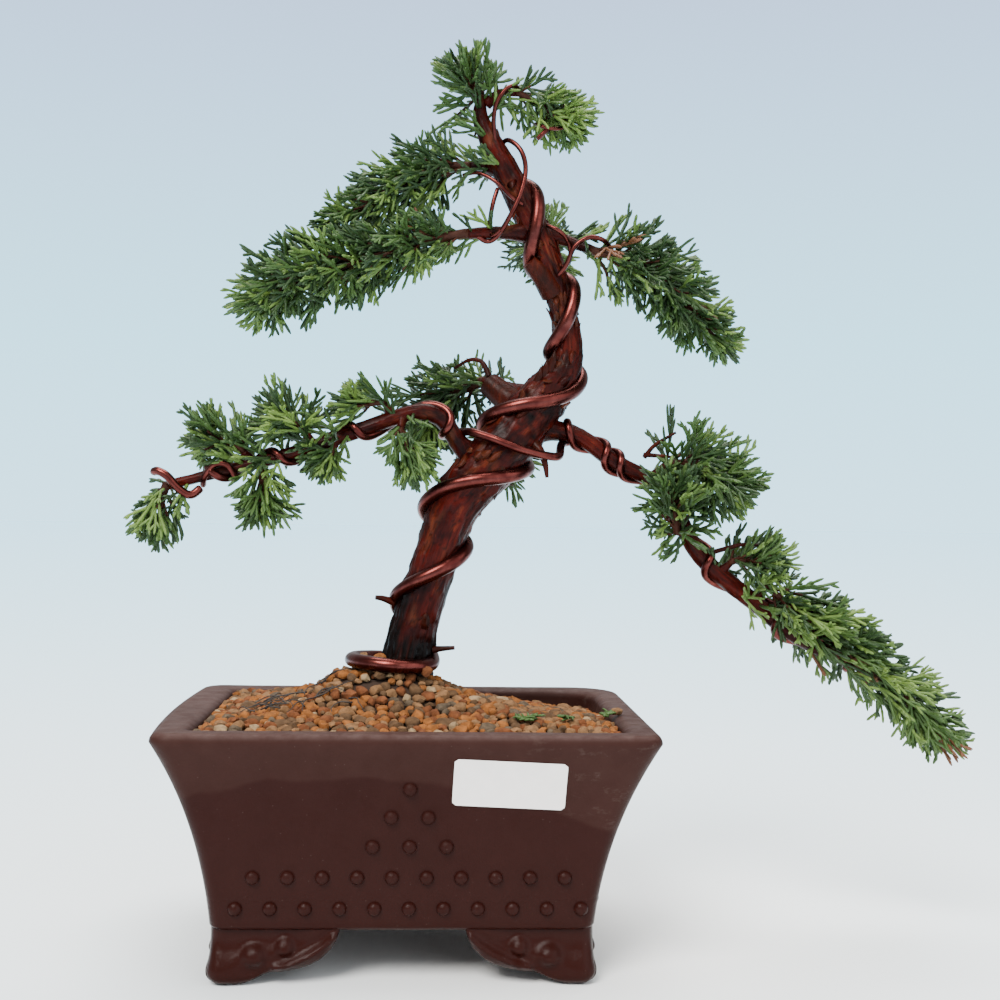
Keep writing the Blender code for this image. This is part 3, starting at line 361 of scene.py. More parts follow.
BOSS_FULL_ROWS = 2
BOSS_RADIUS = 2.7
BOSS_PROUD = 2.2

# Soil
SOIL_TOP = 107.0
SOIL_EDGE = 90.5
SOIL_EVEN_SHARE = 0.45  # of the mound's rise comes evenly with the way in, the rest steeply by the trunk
SOIL_POWER = 5
SOIL_DIP = 6.0  # the soil lies this much lower at the back right
SOIL_PLATEAU = (17.5, 15.0)
SOIL_PLATEAU_X = -12.5
SOIL_CORNER = 15.0
# Granules: (size, how many attempts to place one)
GRANULE_SIZES = ((7.0, 16), (6.0, 110), (5.0, 700), (4.2, 3000), (3.5, 7000), (2.9, 9000), (2.4, 9000))
GRANULE_CLOSE = 0.40  # two granules' least distance, as a share of their sizes together
GROUND_UNDER = 2.2
GROUND_GRID = (60, 46)
GRANULE_SHAPES = 30
GRANULE_CUTS = 7  # flat sides
GRANULE_CELL = 7  # the side of the squares that granules are looked up by
GRANULE_SUNK = 0.16  # of its size
GRANULE_JITTER = 0.6  # up or down
# Granules off the mound: on the rim and over the thick wire's loop, (x, y, z, size)
STRAY_GRANULES = (
    (81, -20, 94.2, 4.0), (-13, -8, 112.5, 5.2), (-17.5, -4, 112, 4.6), (-9.5, -11, 110.5, 4.2),
    (-20, 2, 112, 4.4), (-12, -11.5, 109.5, 3.6), (5.5, -13, 108.5, 4.4), (-23, 5, 110.5, 4.8),
    (-6, -12.5, 108.6, 3.2),
)
# Dead rootlets on the soil, and where their middles lie along X and Y
ROOTLETS = 26
ROOTLET_STEPS, ROOTLET_STEP = 8, 1.7
ROOTLET_PATCH = ((-62, -20), (-34, -2))
# Green sprigs that fell on the soil: (x, y, heading)
FALLEN_SPRIGS = ((40, -47, 0.2), (46, -49, 2.6), (75, -27, 1.2), (62, -40, 4.0))
# Kinds of granule: base colour and share
GRANULES = {
    "orange": ((0.225, 0.080, 0.020), 0.25),
    "rust": ((0.135, 0.045, 0.016), 0.20),
    "tan": ((0.185, 0.095, 0.042), 0.27),
    "brown": ((0.085, 0.046, 0.022), 0.18),
    "grey": ((0.085, 0.060, 0.038), 0.07),
    "cream": ((0.290, 0.195, 0.105), 0.03),
}

# Clay, bark, twigs, wire, and the ground's painted shade: base colours, each pair the ends of a slow change
CLAY_LOW = ((0.0165, 0.0034, 0.0023), (0.0215, 0.0054, 0.0040))
CLAY_HIGH = ((0.0225, 0.0070, 0.0050), (0.0335, 0.0130, 0.0102))
CLAY_RIM = ((0.041, 0.019, 0.0160), (0.074, 0.045, 0.040))
CLAY_CHALK = (0.110, 0.082, 0.070)
BARK_DEEP = (0.0130, 0.0010, 0.0007)
BARK_RED = (0.058, 0.0047, 0.0025)
BARK_ORANGE = (0.125, 0.0190, 0.0070)
BARK_TAN = ((0.070, 0.013, 0.0055), (0.170, 0.058, 0.023))
BARK_BLACK = (0.0028, 0.0014, 0.0011)
DARK_SPECULAR = 0.07  # clay and bark hardly shine
# The clay's tide line: X of its top, its fall to either side as a share of the distance squared, its waves
TIDE_MIDDLE = -20
TIDE_ARCH = 0.0023
TIDE_WAVES = 7
WET_ROUGHNESS = 0.22  # low on the body
TWIG = ((0.020, 0.004, 0.002), (0.060, 0.017, 0.007))
COPPER = ((0.062, 0.0130, 0.0115), (0.132, 0.033, 0.027))
ROOTLET = (0.02, 0.014, 0.011)
# the dark colour under the granules: painted shade for the gaps between them
GROUND_SHADE = (0.030, 0.014, 0.007)
GRANULE_PIT = (0.05, 0.03, 0.02)

# The studio's colours, seen from the horizon upwards, its floor's, and how bright the sky looks and lights
SKY_LOW = (0.62, 1.06, 1.30)
SKY_MIDDLE = (0.50, 0.98, 1.22)
SKY_HIGH = (0.42, 0.56, 0.82)
FLOOR_NEAR = (0.97, 0.97, 0.955)
FLOOR_FAR = (0.37, 0.70, 0.90)
SKY_SEEN = 2.2
SKY_LIGHT = 0.62
SKY_LIGHT_COLOUR = (0.93, 0.98, 1.0)
FLOOR_HALF = 20.0  # metres
# Lights: (direction, spread in degrees, power, colour)
SUNS = {
    "key": ((-0.55, -1.0, 1.15), 28, 5.2, (1.0, 0.97, 0.93)),
    "fill": ((0.9, -0.9, 0.55), 60, 1.7, (0.97, 0.98, 1.0)),
    "top": ((0.1, 0.35, 1.6), 45, 4.6, (1.0, 0.99, 0.97)),
}

# Sticker
LABEL_LENGTH = 40.6
LABEL_HEIGHT = 17.3
LABEL_X = 36.3
LABEL_BOTTOM = 65.8
LABEL_TURN = math.radians(2.6)
LABEL_CORNER = 1.4
LABEL_LIFT = (-0.42, -0.12)  # its face and its back, off the wall
LABEL_COLUMNS, LABEL_ROWS = 40, 18
PAPER = (0.96, 0.88, 0.835)


# ---- frame ----

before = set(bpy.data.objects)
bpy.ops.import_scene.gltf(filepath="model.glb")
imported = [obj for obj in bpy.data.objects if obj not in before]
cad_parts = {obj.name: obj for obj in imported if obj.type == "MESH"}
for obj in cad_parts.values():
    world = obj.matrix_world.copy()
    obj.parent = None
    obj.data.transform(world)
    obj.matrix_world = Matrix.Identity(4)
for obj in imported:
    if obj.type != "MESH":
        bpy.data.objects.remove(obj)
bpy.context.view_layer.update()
pot_low, pot_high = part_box("pot")
ORIGIN = Vector(((pot_low.x + pot_high.x) / 2, (pot_low.y + pot_high.y) / 2, pot_low.z))


# ---- materials ----


class Look:
    """A procedural material, with short calls for the nodes that it uses."""

    def __init__(self, name, roughness, metallic=0.0, specular=0.5):
        self.material = bpy.data.materials.new(name)
        self.material.use_nodes = True
        self.tree = self.material.node_tree
        self.shader = self.tree.nodes["Principled BSDF"]
        self.shader.inputs["Roughness"].default_value = roughness
        self.shader.inputs["Metallic"].default_value = metallic
        self.shader.inputs["Specular IOR Level"].default_value = specular

    def put(self, socket, value):
        """Links a node's output to a socket, or sets the socket's own value."""
        if isinstance(value, bpy.types.NodeSocket):
            self.tree.links.new(value, socket)
        else:
            socket.default_value = (*value, 1) if socket.type == "RGBA" else value

    def node(self, kind, inputs=(), **settings):
        made = self.tree.nodes.new(kind)
        for key, value in settings.items():
            setattr(made, key, value)
        for key, value in dict(inputs).items():
            self.put(made.inputs[key], value)
        return made

    def place(self, attribute=None, stretch=(1, 1, 1)):
        """A coordinate in millimetres: the object's own, or a named attribute."""
        if attribute:
            source = self.node("ShaderNodeAttribute", attribute_name=attribute).outputs["Vector"]
            scale = stretch
        else:
            source = self.node("ShaderNodeTexCoord").outputs["Object"]
            scale = [value / MM for value in stretch]
        return self.node("ShaderNodeMapping", {"Vector": source, "Scale": scale}).outputs["Vector"]

    def noise(self, place, size, detail=4.0, rough=0.55):
        inputs = {"Vector": place, "Scale": 1 / size, "Detail": detail, "Roughness": rough}
        return self.node("ShaderNodeTexNoise", inputs).outputs["Fac"]

    def cells(self, place, size):
        return self.node("ShaderNodeTexVoronoi", {"Vector": place, "Scale": 1 / size}).outputs["Distance"]

    def ramp(self, value, stops):
        """The value through a colour ramp of (position, colour or grey)."""
        made = self.node("ShaderNodeValToRGB", {"Fac": value})
        while len(made.color_ramp.elements) < len(stops):
            made.color_ramp.elements.new(0.5)
        for element, (position, colour) in zip(made.color_ramp.elements, stops):
            element.position = position
            element.color = (*colour, 1) if isinstance(colour, tuple) else (colour, colour, colour, 1)
        return made.outputs["Color"]

    def mix(self, share, a, b):
        return self.node("ShaderNodeMix", {0: share, 6: a, 7: b}, data_type="RGBA").outputs[2]

    def math(self, kind, a, b):
        return self.node("ShaderNodeMath", {0: a, 1: b}, operation=kind).outputs[0]

    def mottled(self, value, low, high, a, b):
        """Colour a where the value is low and b where it is high."""
        return self.mix(self.ramp(value, [(low, 0.0), (high, 1.0)]), a, b)

    def colour(self, value):
        self.put(self.shader.inputs["Base Color"], value)

    def rough(self, value):
        self.put(self.shader.inputs["Roughness"], value)

    def bump(self, height, distance, strength, under=None):
        inputs = {"Height": height, "Distance": distance * MM, "Strength": strength}
        if under:
            inputs["Normal"] = under
        made = self.node("ShaderNodeBump", inputs).outputs["Normal"]
        self.tree.links.new(made, self.shader.inputs["Normal"])
        return made


def shade(colour, share):
    return tuple(value * share for value in colour)


def clay_look():
    """Unglazed clay: darker below a wavy tide line, paler with mineral marks above it and on the rim."""
    look = Look("clay", 0.55, specular=DARK_SPECULAR)
    place = look.place()
    parts = look.node("ShaderNodeSeparateXYZ", {"Vector": place}).outputs
    height = look.math("SUBTRACT", parts["Z"], ORIGIN.z / MM)
    across_it = look.math("MULTIPLY", look.math("SUBTRACT", parts["X"], ORIGIN.x / MM), 0.045)
    aside = look.math("SUBTRACT", parts["X"], ORIGIN.x / MM + TIDE_MIDDLE)
    arch = look.math("MULTIPLY", look.math("MULTIPLY", aside, aside), TIDE_ARCH)
    waves = look.math("MULTIPLY", look.noise(place, 22, 2), TIDE_WAVES)
    wavy = look.math("ADD", look.math("ADD", height, arch), waves)
    upper = look.ramp(look.math("DIVIDE", wavy, 120), [(0.663, 0.0), (0.676, 0.7), (0.82, 1.0)])
    low = look.mix(look.noise(place, 14, 5), *CLAY_LOW)
    high = look.mix(look.noise(place, 9, 6), *CLAY_HIGH)
    base = look.mix(upper, low, high)
    right = look.ramp(look.math("DIVIDE", look.math("ADD", across_it, 4.2), 8.4), [(0.55, 0.0), (0.95, 1.0)])
    chalky = look.ramp(look.noise(look.place(stretch=(0.5, 1, 1)), 6, 8, 0.78), [(0.54, 0.0), (0.72, 0.42)])
    base = look.mix(look.math("MULTIPLY", look.math("MULTIPLY", chalky, right), upper), base, CLAY_CHALK)
    rim = look.ramp(look.math("DIVIDE", height, 100), [(0.905, 0.0), (0.922, 1.0)])
    base = look.mix(rim, base, look.mottled(look.noise(place, 5, 7, 0.7), 0.35, 0.7, *CLAY_RIM))
    specks = look.ramp(look.cells(place, 3.4), [(0.02, 1.0), (0.07, 0.0)])
    base = look.mix(look.math("MULTIPLY", specks, 0.35), base, CLAY_CHALK)
    look.colour(base)
    dull = look.ramp(look.noise(place, 6, 4), [(0.3, 0.40), (0.7, 0.58)])
    gloss = look.ramp(look.math("DIVIDE", height, 100), [(0.24, 0.0), (0.60, 1.0)])
    look.rough(look.mix(gloss, (WET_ROUGHNESS,) * 3, dull))
    fine = look.bump(look.noise(place, 0.9, 6, 0.7), 0.3, 0.45)
    look.bump(look.noise(place, 12, 3), 0.8, 0.5, under=fine)
    return look.material


def bark_look():
    """Smooth cleaned bark in the limb's own straightened coordinates: z runs along the limb."""
    look = Look("bark", 0.36, specular=DARK_SPECULAR)
    grain = look.place("grain")
    patches = look.noise(look.place("grain", (1, 1, 0.5)), 9, 4)
    base = look.mottled(patches, 0.38, 0.62, BARK_DEEP, BARK_RED)
    warm = look.noise(look.place("grain", (1, 1, 0.4)), 4.5, 5, 0.65)
    base = look.mix(look.ramp(warm, [(0.56, 0.0), (0.72, 0.75)]), base, BARK_ORANGE)
    streaks = look.noise(look.place("grain", (1, 1, 0.12)), 1.3, 6, 0.65)
    base = look.mix(look.ramp(streaks, [(0.40, 0.42), (0.50, 0.0)]), base, BARK_BLACK)
    pits = look.cells(look.place("grain", (1, 1, 0.6)), 3.1)
    base = look.mix(look.ramp(pits, [(0.05, 0.55), (0.14, 0.0)]), base, BARK_BLACK)
    pale = look.node("ShaderNodeAttribute", attribute_name="pale").outputs["Fac"]
    base = look.mix(pale, base, look.mix(warm, *BARK_TAN))
    # dark: cracks and black rough bark, and painted shade on the trunk's side facing left
    dark = look.node("ShaderNodeAttribute", attribute_name="dark").outputs["Fac"]
    base = look.mix(dark, base, BARK_BLACK)
    look.colour(base)
    look.rough(look.ramp(streaks, [(0.35, 0.50), (0.6, 0.24)]))
    under = look.bump(streaks, 0.20, 0.6)
    look.bump(look.noise(grain, 1.4, 5, 0.6), 0.22, 0.6, under=under)
    return look.material


def twig_look():
    look = Look("twig", 0.6, specular=0.15)
    place = look.place()
    look.colour(look.mix(look.noise(place, 2.5, 4), *TWIG))
    look.bump(look.noise(place, 0.8, 4), 0.2, 0.6)
    return look.material


def wire_look():
    look = Look("copper_wire", 0.3, 1.0)
    place = look.place()
    worn = look.noise(place, 5, 5)
    look.colour(look.mottled(worn, 0.35, 0.7, *COPPER))
    look.rough(look.ramp(worn, [(0.3, 0.36), (0.75, 0.22)]))
    look.bump(look.noise(place, 1.2, 4), 0.06, 0.5)
    return look.material


def cord_look(kind, colour):
    """Overlapping scales on a cord, in one plain colour with a slight change from place to place."""
    look = Look(f"leaf_{kind}", 0.5, specular=0.35)
    place = look.place()
    look.colour(look.mix(look.noise(place, 3.0, 3), shade(colour, 0.72), shade(colour, 1.35)))
    look.bump(look.cells(place, 0.9), 0.22, 0.8)
    return look.material


def granule_look(kind, colour):
    look = Look(f"granule_{kind}", 0.95, specular=0.2)
    place = look.place()
    base = look.mottled(look.noise(place, 2.6, 5), 0.3, 0.7, shade(colour, 0.55), shade(colour, 1.3))
    look.colour(look.mix(look.ramp(look.cells(place, 1.5), [(0.05, 0.6), (0.14, 0.0)]), base, GRANULE_PIT))
    look.bump(look.noise(place, 0.8, 5, 0.7), 0.5, 0.7)
    return look.material


def plain_look(name, colour, roughness, grain_size=0.8, depth=0.1):
    look = Look(name, roughness)
    place = look.place()
    look.colour(look.mix(look.noise(place, 6, 4), shade(colour, 0.85), colour))
    look.bump(look.noise(place, grain_size, 4), depth, 0.5)
    return look.material


# ---- meshes ----


class Shape:
    """Gathers points, faces and each face's material, and makes one piece of them."""

    def __init__(self):
        self.points = []
        self.faces = []
        self.kinds = []
        self.count = 0

    def add(self, points, faces, kind=0):
        points = np.asarray(points, dtype=float).reshape(-1, 3)
        for group in faces:
            group = np.asarray(group) + self.count
            self.faces.extend(map(tuple, group.tolist()))
            self.kinds.extend([kind] * len(group))
        self.points.append(points)
        self.count += len(points)

    def add_ball(self, segments, rings, moved):
        """Adds a unit ball whose points are moved one by one."""
        bm = bmesh.new()
        bmesh.ops.create_uvsphere(bm, u_segments=segments, v_segments=rings, radius=1.0)
        bm.verts.index_update()
        faces = [[[vert.index for vert in face.verts]] for face in bm.faces]
        self.add([moved(vert.co) for vert in bm.verts], faces)
        bm.free()

    def make(self, name, materials, slot, nodes=(), sharp=None):
        mesh = bpy.data.meshes.new(name)
        places = np.concatenate(self.points) * MM + np.array(ORIGIN)
        mesh.from_pydata(places.tolist(), [], self.faces)
        mesh.polygons.foreach_set("material_index", self.kinds)
        for material in materials:
            mesh.materials.append(material)
        mesh.shade_smooth()
        if sharp:
            mesh.set_sharp_from_angle(angle=math.radians(sharp))
        mesh.update()
        piece = bpy.data.objects.new(name, mesh)
        bpy.context.scene.collection.objects.link(piece)
        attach(piece, "root")
        for node in nodes:
            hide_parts(node)
        return piece


def unit(vectors):
    return vectors / np.maximum(np.linalg.norm(vectors, axis=-1, keepdims=True), 1e-9)


def tube_frames(points):
    """Sides and ups that turn as little as they can along a path of points."""
    points = np.asarray(points, dtype=float)
    along = unit(np.gradient(points, axis=0))
    side = unit(np.cross(along[0], (0.0, 1.0, 0.0) if abs(along[0][1]) < 0.9 else (1.0, 0.0, 0.0)))
    sides = []
    for direction in along:
        side = unit(side - direction * np.dot(side, direction))
        sides.append(side)
    sides = np.array(sides)
    return along, sides, np.cross(along, sides)


def tube(shape, points, radii, sides):
    """A round tube along a path."""
    points = np.asarray(points, dtype=float)
    _, side, up = tube_frames(points)
    angles = np.arange(sides) * math.tau / sides
    ring = side[:, None] * np.cos(angles)[None, :, None] + up[:, None] * np.sin(angles)[None, :, None]
    grid = points[:, None] + ring * np.asarray(radii, dtype=float).reshape(-1, 1, 1)
    shape.add(grid, grid_faces(len(points), sides))


def grid_faces(rings, sides):
    """Quads of a tube's grid, with its two end faces."""
    low = np.arange(rings - 1)[:, None] * sides
    here = np.arange(sides)[None, :]
    after = (here + 1) % sides
    quads = np.stack([low + here, low + after, low + sides + after, low + sides + here], axis=-1)
    last = (rings - 1) * sides
    return [quads.reshape(-1, 4), [list(range(sides))[::-1]], [list(range(last, last + sides))]]


def sheet_faces(columns, rows):
    """Quads of a sheet whose points run row by row."""
    wide = columns + 1
    starts = [j * wide + i for j in range(rows) for i in range(columns)]
    return [(start, start + 1, start + 1 + wide, start + wide) for start in starts]


def slab_faces(columns, rows):
    """Faces of a closed slab: the front sheet's points come first, then those of its back."""
    wide = columns + 1
    count = wide * (rows + 1)
    front = sheet_faces(columns, rows)
    back = [(a + count, d + count, c + count, b + count) for a, b, c, d in front]
    border = [*range(columns), *[j * wide + columns for j in range(rows)]]
    border += [rows * wide + i for i in range(columns, 0, -1)] + [j * wide for j in range(rows, 0, -1)]
    walls = [(a, a + count, b + count, b) for a, b in zip(border, border[1:] + border[:1])]
    return [front, back, walls]


# ---- paths along limbs ----


def curve(a, b, c, d, t):
    """A place on the smooth curve from b to c, which runs on from a and on to d."""
    return (b * 2 + (c - a) * t + (a * 2 - b * 5 + c * 4 - d) * t**2 + (b * 3 - a - c * 3 + d) * t**3) * 0.5


def smooth_path(keys, step):
    """(place, radius) about step apart on a smooth curve through the key points."""
    rows = [Vector(key) for key in keys]
    rows = [rows[0] * 2 - rows[1], *rows, rows[-1] * 2 - rows[-2]]
    path = []
    for a, b, c, d in zip(rows, rows[1:], rows[2:], rows[3:]):
        count = max(1, round((c - b).to_3d().length / step))
        for i in range(count):
            path.append(curve(a, b, c, d, i / count))
    path.append(rows[-2])
    return [(row.to_3d(), row.w) for row in path]


def lengths_along(path):
    total = [0.0]
    for (a, _), (b, _) in zip(path, path[1:]):
        total.append(total[-1] + (b - a).length)
    return total


def index_where(values, value):
    for i, (low, high) in enumerate(zip(values, values[1:])):
        if value <= high:
            return i + max(0.0, (value - low) / (high - low))
    return len(values) - 1.0


def tangent(path, i):
    return (path[min(i + 1, len(path) - 1)][0] - path[max(i - 1, 0)][0]).normalized()


def beside(path, index, turns, distance):
    """A point beside the path at a fractional index, distance from the limb's surface.

    Turns count from the limb's left side, or its upper side where it runs to the right, over the front.
    """
    i = min(int(index), len(path) - 2)
    share = index - i
    along = tangent(path, i).lerp(tangent(path, i + 1), share).normalized()
    place = path[i][0].lerp(path[i + 1][0], share)
    radius = path[i][1] + (path[i + 1][1] - path[i][1]) * share
    back = (Vector((0, 1, 0)) - along * along.y).normalized()
    side = along.cross(back)
    angle = turns * math.tau
    return place + (side * math.cos(angle) - back * math.sin(angle)) * (radius + distance)


def blend(values, position):
    """A smooth curve through evenly spaced values, read at a fractional position."""
    i = min(max(int(math.floor(position)), 0), len(values) - 2)
    before, after = values[max(i - 1, 0)], values[min(i + 2, len(values) - 1)]
    return curve(before, values[i], values[i + 1], after, position - i)


def make_paths():
    """Every limb's path at a fine step, by name."""
    limbs = {"trunk": TRUNK, "left_bough": LEFT_BOUGH, "right_bough": RIGHT_BOUGH, **BOUGHS}
    return {name: smooth_path(keys, 1.6 if name == "trunk" else 1.2) for name, keys in limbs.items()}


# ---- bark ----


def crack_at(spot):
    """1 in the narrow cracks between plates of bark, 0 inside them."""
    near, second = noise.voronoi(spot)[0][:2]
    return max(0.0, 1 - (second - near) / CRACK_WIDTH)


def limb_relief(spoke, length, radius, place, seed):
    """How far the bark stands out, how dark and how pale it is, at a place on a limb's skin.

    The place itself counts only for the trunk, which has marks at heights of their own.
    """
    x, y = spoke
    muscle = noise.noise(Vector((x * 1.3 + seed, y * 1.3, length / (5 * radius + 12))))
    flutes = noise.noise(Vector((x * 2.6, y * 2.6 + seed, length / (3 * radius + 8))))
    fibres = noise.noise(Vector((x * radius * 0.8, y * radius * 0.8, length * 0.11 + seed)))
    plates = Vector((x * radius * 0.16, y * radius * 0.16, length * 0.075 + seed))
    crack = crack_at(plates + Vector((fibres, muscle, flutes)) * 0.22)
    knots = noise.noise(Vector((x * radius * 0.28, y * radius * 0.28, length * 0.16 - seed)))
    out = radius * (0.05 * muscle + 0.035 * flutes - 0.03) + 0.18 * fibres
    out += 0.2 * radius * max(0.0, knots) ** 2 - min(0.4, 0.06 * radius) * crack
    dark = max(0.7 * crack, max(0.0, -fibres - 0.3) * 1.4)
    bare = noise.noise(Vector((x * radius * 0.2, y * radius * 0.2, length * 0.1 + 2 * seed)))
    return out, min(1.0, dark), min(0.5, max(0.0, bare - 0.28) * 1.6 * 0.6)


def trunk_relief(spoke, length, radius, place, seed):
    """Trunk marks on the common relief: rough black foot, rough left side in painted shade, knots, flakes."""
    out, dark, pale = limb_relief(spoke, length, radius, place, seed)
    x, y = spoke
    outward = place[3]  # how far the skin faces left, from -1 to 1
    height = place[2]
    foot = min(1.0, max(0.0, (BLACK_FOOT_TOP - height) / 9))
    # the rough lower left side, painted black as shade where it faces left
    left = min(1.0, max(0.0, (ROUGH_SHADED_LEFT_TOP - height) / 12)) * min(1.0, max(0.0, outward * 2.4 - 0.5))
    rough = noise.noise(Vector((x * 3.6, y * 3.6, length * 0.16)))
    shreds = noise.noise(Vector((x * 9, y * 9, length * 0.10)))
    torn_and_shaded = max(foot, left)
    out += torn_and_shaded * (0.9 * rough + 0.9 * shreds)
    # the foot's black is the bark's own; the black of the lower left side, and the darkening of all skin
    # facing left, are painted shade
    dark = max(dark, torn_and_shaded * (1.0 + 0.5 * shreds), (outward - 0.5) * 1.1)
    pale *= 1 - torn_and_shaded
    knotty = max(0.0, 1 - abs(length - KNOTTY[0]) / KNOTTY[1])
    lump = noise.noise(Vector((x * 2.6, y * 2.6, length * 0.30)))
    out += knotty * (1.1 * lump - 0.3)
    dark = max(dark, knotty * max(0.0, 0.2 - lump) * 1.5)
    flaky = max(0.0, 1 - abs(length - FLAKY[0]) / FLAKY[1])
    out += flaky * 0.7 * noise.noise(Vector((x * 4, y * 4, length * 0.22)))
    return out, min(1.0, max(0.0, dark)), pale + flaky * max(0.0, shreds) * 0.8


def limb_skin(name, path, sides, relief, bark, nodes):
    """A limb's bark as a fine mesh with its straightened coordinates, darkness and paleness kept on it."""
    total = lengths_along(path)
    points = np.array([place for place, _ in path])
    _, side, up = tube_frames(points)
    seed = sum(map(ord, name)) % 97
    rows, grain, darkness, paleness = [], [], [], []
    for i, (place, radius) in enumerate(path):
        for k in range(sides):
            angle = k * math.tau / sides
            spoke = side[i] * math.cos(angle) + up[i] * math.sin(angle)
            skin = points[i] + spoke * radius
            round_spoke = (math.cos(angle), math.sin(angle))
            out, dark, pale = relief(round_spoke, total[i], radius, (*skin, -spoke[0]), seed)
            rows.append(points[i] + spoke * (radius + out))
            grain.append((radius * round_spoke[0], radius * round_spoke[1], total[i] + seed))
            darkness.append(dark)
            paleness.append(pale)
    shape = Shape()
    shape.add(rows, grid_faces(len(path), sides))
    mark(shape.make(name, [bark], "bark", nodes), grain, darkness, paleness)


def mark(piece, grain, darkness, paleness):
    """Keeps the bark's coordinates and tones on a piece's points."""
    made = piece.data.attributes.new
    made("grain", "FLOAT_VECTOR", "POINT").data.foreach_set("vector", np.array(grain).ravel())
    made("dark", "FLOAT", "POINT").data.foreach_set("value", darkness)
    made("pale", "FLOAT", "POINT").data.foreach_set("value", paleness)


def collared(path, carrier_radius):
    """The path with its radius swelling where it leaves the limb that carries it."""
    total = lengths_along(path)
    grown = []
    for (place, radius), length in zip(path, total):
        past = max(0.0, length - carrier_radius)
        grown.append((place, radius * (1 + COLLAR_SWELL * math.exp(-past / (radius * 1.2)))))
    return grown


def make_flakes(bark):
    """Curled plates of peeling bark along the trunk, most of them on its flaky stretch."""
    rng = random.Random(SEED + 41)
    path = smooth_path(TRUNK, TRUNK_STEP)
    total = lengths_along(path)
    points = np.array([place for place, _ in path])
    ahead, side, up = tube_frames(points)
    shape = Shape()
    grain, tones = [], []
    for _ in range(FLAKE_COUNT):
        i = int(index_where(total, rng.triangular(FLAKE_FROM, FLAKE_TO, FLAKY[0])))
        angle = rng.uniform(0, math.tau)
        spoke = side[i] * math.cos(angle) + up[i] * math.sin(angle)
        across_it = np.cross(ahead[i], spoke)
        run = ahead[i] * rng.choice((-1, 1)) + across_it * rng.uniform(-0.5, 0.5)
        length, width, lift = rng.uniform(2.5, 7.0), rng.uniform(0.9, 2.4), rng.uniform(0.5, 2.4)
        rows = []
        for share, wide in FLAKE_SHAPE:
            middle = points[i] + spoke * (path[i][1] - 0.5 + lift * share**2) + run * length * (share - 0.3)
            for aside, out in ((-1, 0.0), (0, 0.35), (1, 0.0), (0, -0.25)):
                rows.append(middle + across_it * width * wide * aside + spoke * out)
                grain.append((middle[0] + aside, middle[1], total[i] + length * share))
        tones += [rng.random() ** 2] * len(rows)
        shape.add(rows, grid_faces(len(FLAKE_SHAPE), 4))
    piece = shape.make("bark_flakes", [bark], "bark")
    mark(piece, grain, [0.7 * tone for tone in tones], [0.3 * (1 - tone) ** 2 for tone in tones])


def make_limbs(paths, bark):
    limb_skin("trunk_bark", smooth_path(TRUNK, TRUNK_STEP), TRUNK_SIDES, trunk_relief, bark, ["trunk"])
    split = {
        "left_bough": ["left_bough_root", "left_bough"],
        "right_bough": ["right_bough_inner", "right_bough_outer"],
    }
    for name, path in paths.items():
        if name == "trunk":
            continue
        sides = BOUGH_SIDES if path[0][1] > THICK_BOUGH else SIDE_BOUGH_SIDES
        carrier = BOUGH_CARRIER if name.endswith("bough") else SIDE_CARRIER
        if name in split:
            carrier = MAIN_CARRIER
        limb_skin(f"{name}_bark", collared(path, carrier), sides, limb_relief, bark, split.get(name, [name]))


# ---- wires ----


def coil(path, crossings, distance, lead=None):
    """Points of a wire round a limb: it passes over the front at each crossing and behind in between."""
    total = lengths_along(path)
    spots = [spot for centre in crossings for spot in (centre - CROSSING, centre + CROSSING)]
    first = 0
    if lead is not None:
        spots.insert(0, lead)
        first = -1
    steps = WIRE_STEPS // 2
    points = []
    for i in range(steps * (len(spots) - 1) + 1):
        half = i / steps
        index = index_where(total, blend(spots, half))
        points.append(beside(path, index, (half + first) / 2, distance))
    return points


def trunk_coil(path):
    """The thick wire: a loop on the soil, then up round the trunk."""
    heights = [place.z for place, _ in path]
    extras = [*TRUNK_WIRE_EXTRA, *[0.0] * (len(TRUNK_WIRE_HEIGHTS) - len(TRUNK_WIRE_EXTRA))]
    count = round((TRUNK_WIRE_END - TRUNK_WIRE_START) / 2 * WIRE_STEPS)
    points = []
    for i in range(count + 1):
        half = TRUNK_WIRE_START + (TRUNK_WIRE_END - TRUNK_WIRE_START) * i / count
        steady = max(half, 0.0)
        index = index_where(heights, blend(TRUNK_WIRE_HEIGHTS, steady))
        points.append(beside(path, index, half / 2, TRUNK_WIRE_RADIUS + WIRE_BITE + blend(extras, steady)))
    return points


def evened(points, step=1.2, rounds=2):
    """The points spaced evenly and eased, so that joined stretches run on smoothly."""
    rows = np.array([tuple(point) for point in points])
    gaps = np.linalg.norm(np.diff(rows, axis=0), axis=1)
    at = np.concatenate([[0], np.cumsum(gaps)])
    count = max(8, int(at[-1] / step))
    rows = np.stack([np.interp(np.linspace(0, at[-1], count), at, rows[:, k]) for k in range(3)], axis=1)
    for _ in range(rounds):
        rows[1:-1] = (rows[:-2] + rows[1:-1] * 2 + rows[2:]) / 4
    return rows


def wire_ends(rows, radius):
    """Radii along a wire whose cut ends are slightly rounded."""
    radii = np.full(len(rows), radius)
    radii[0] = radii[-1] = radius * WIRE_END
    return radii


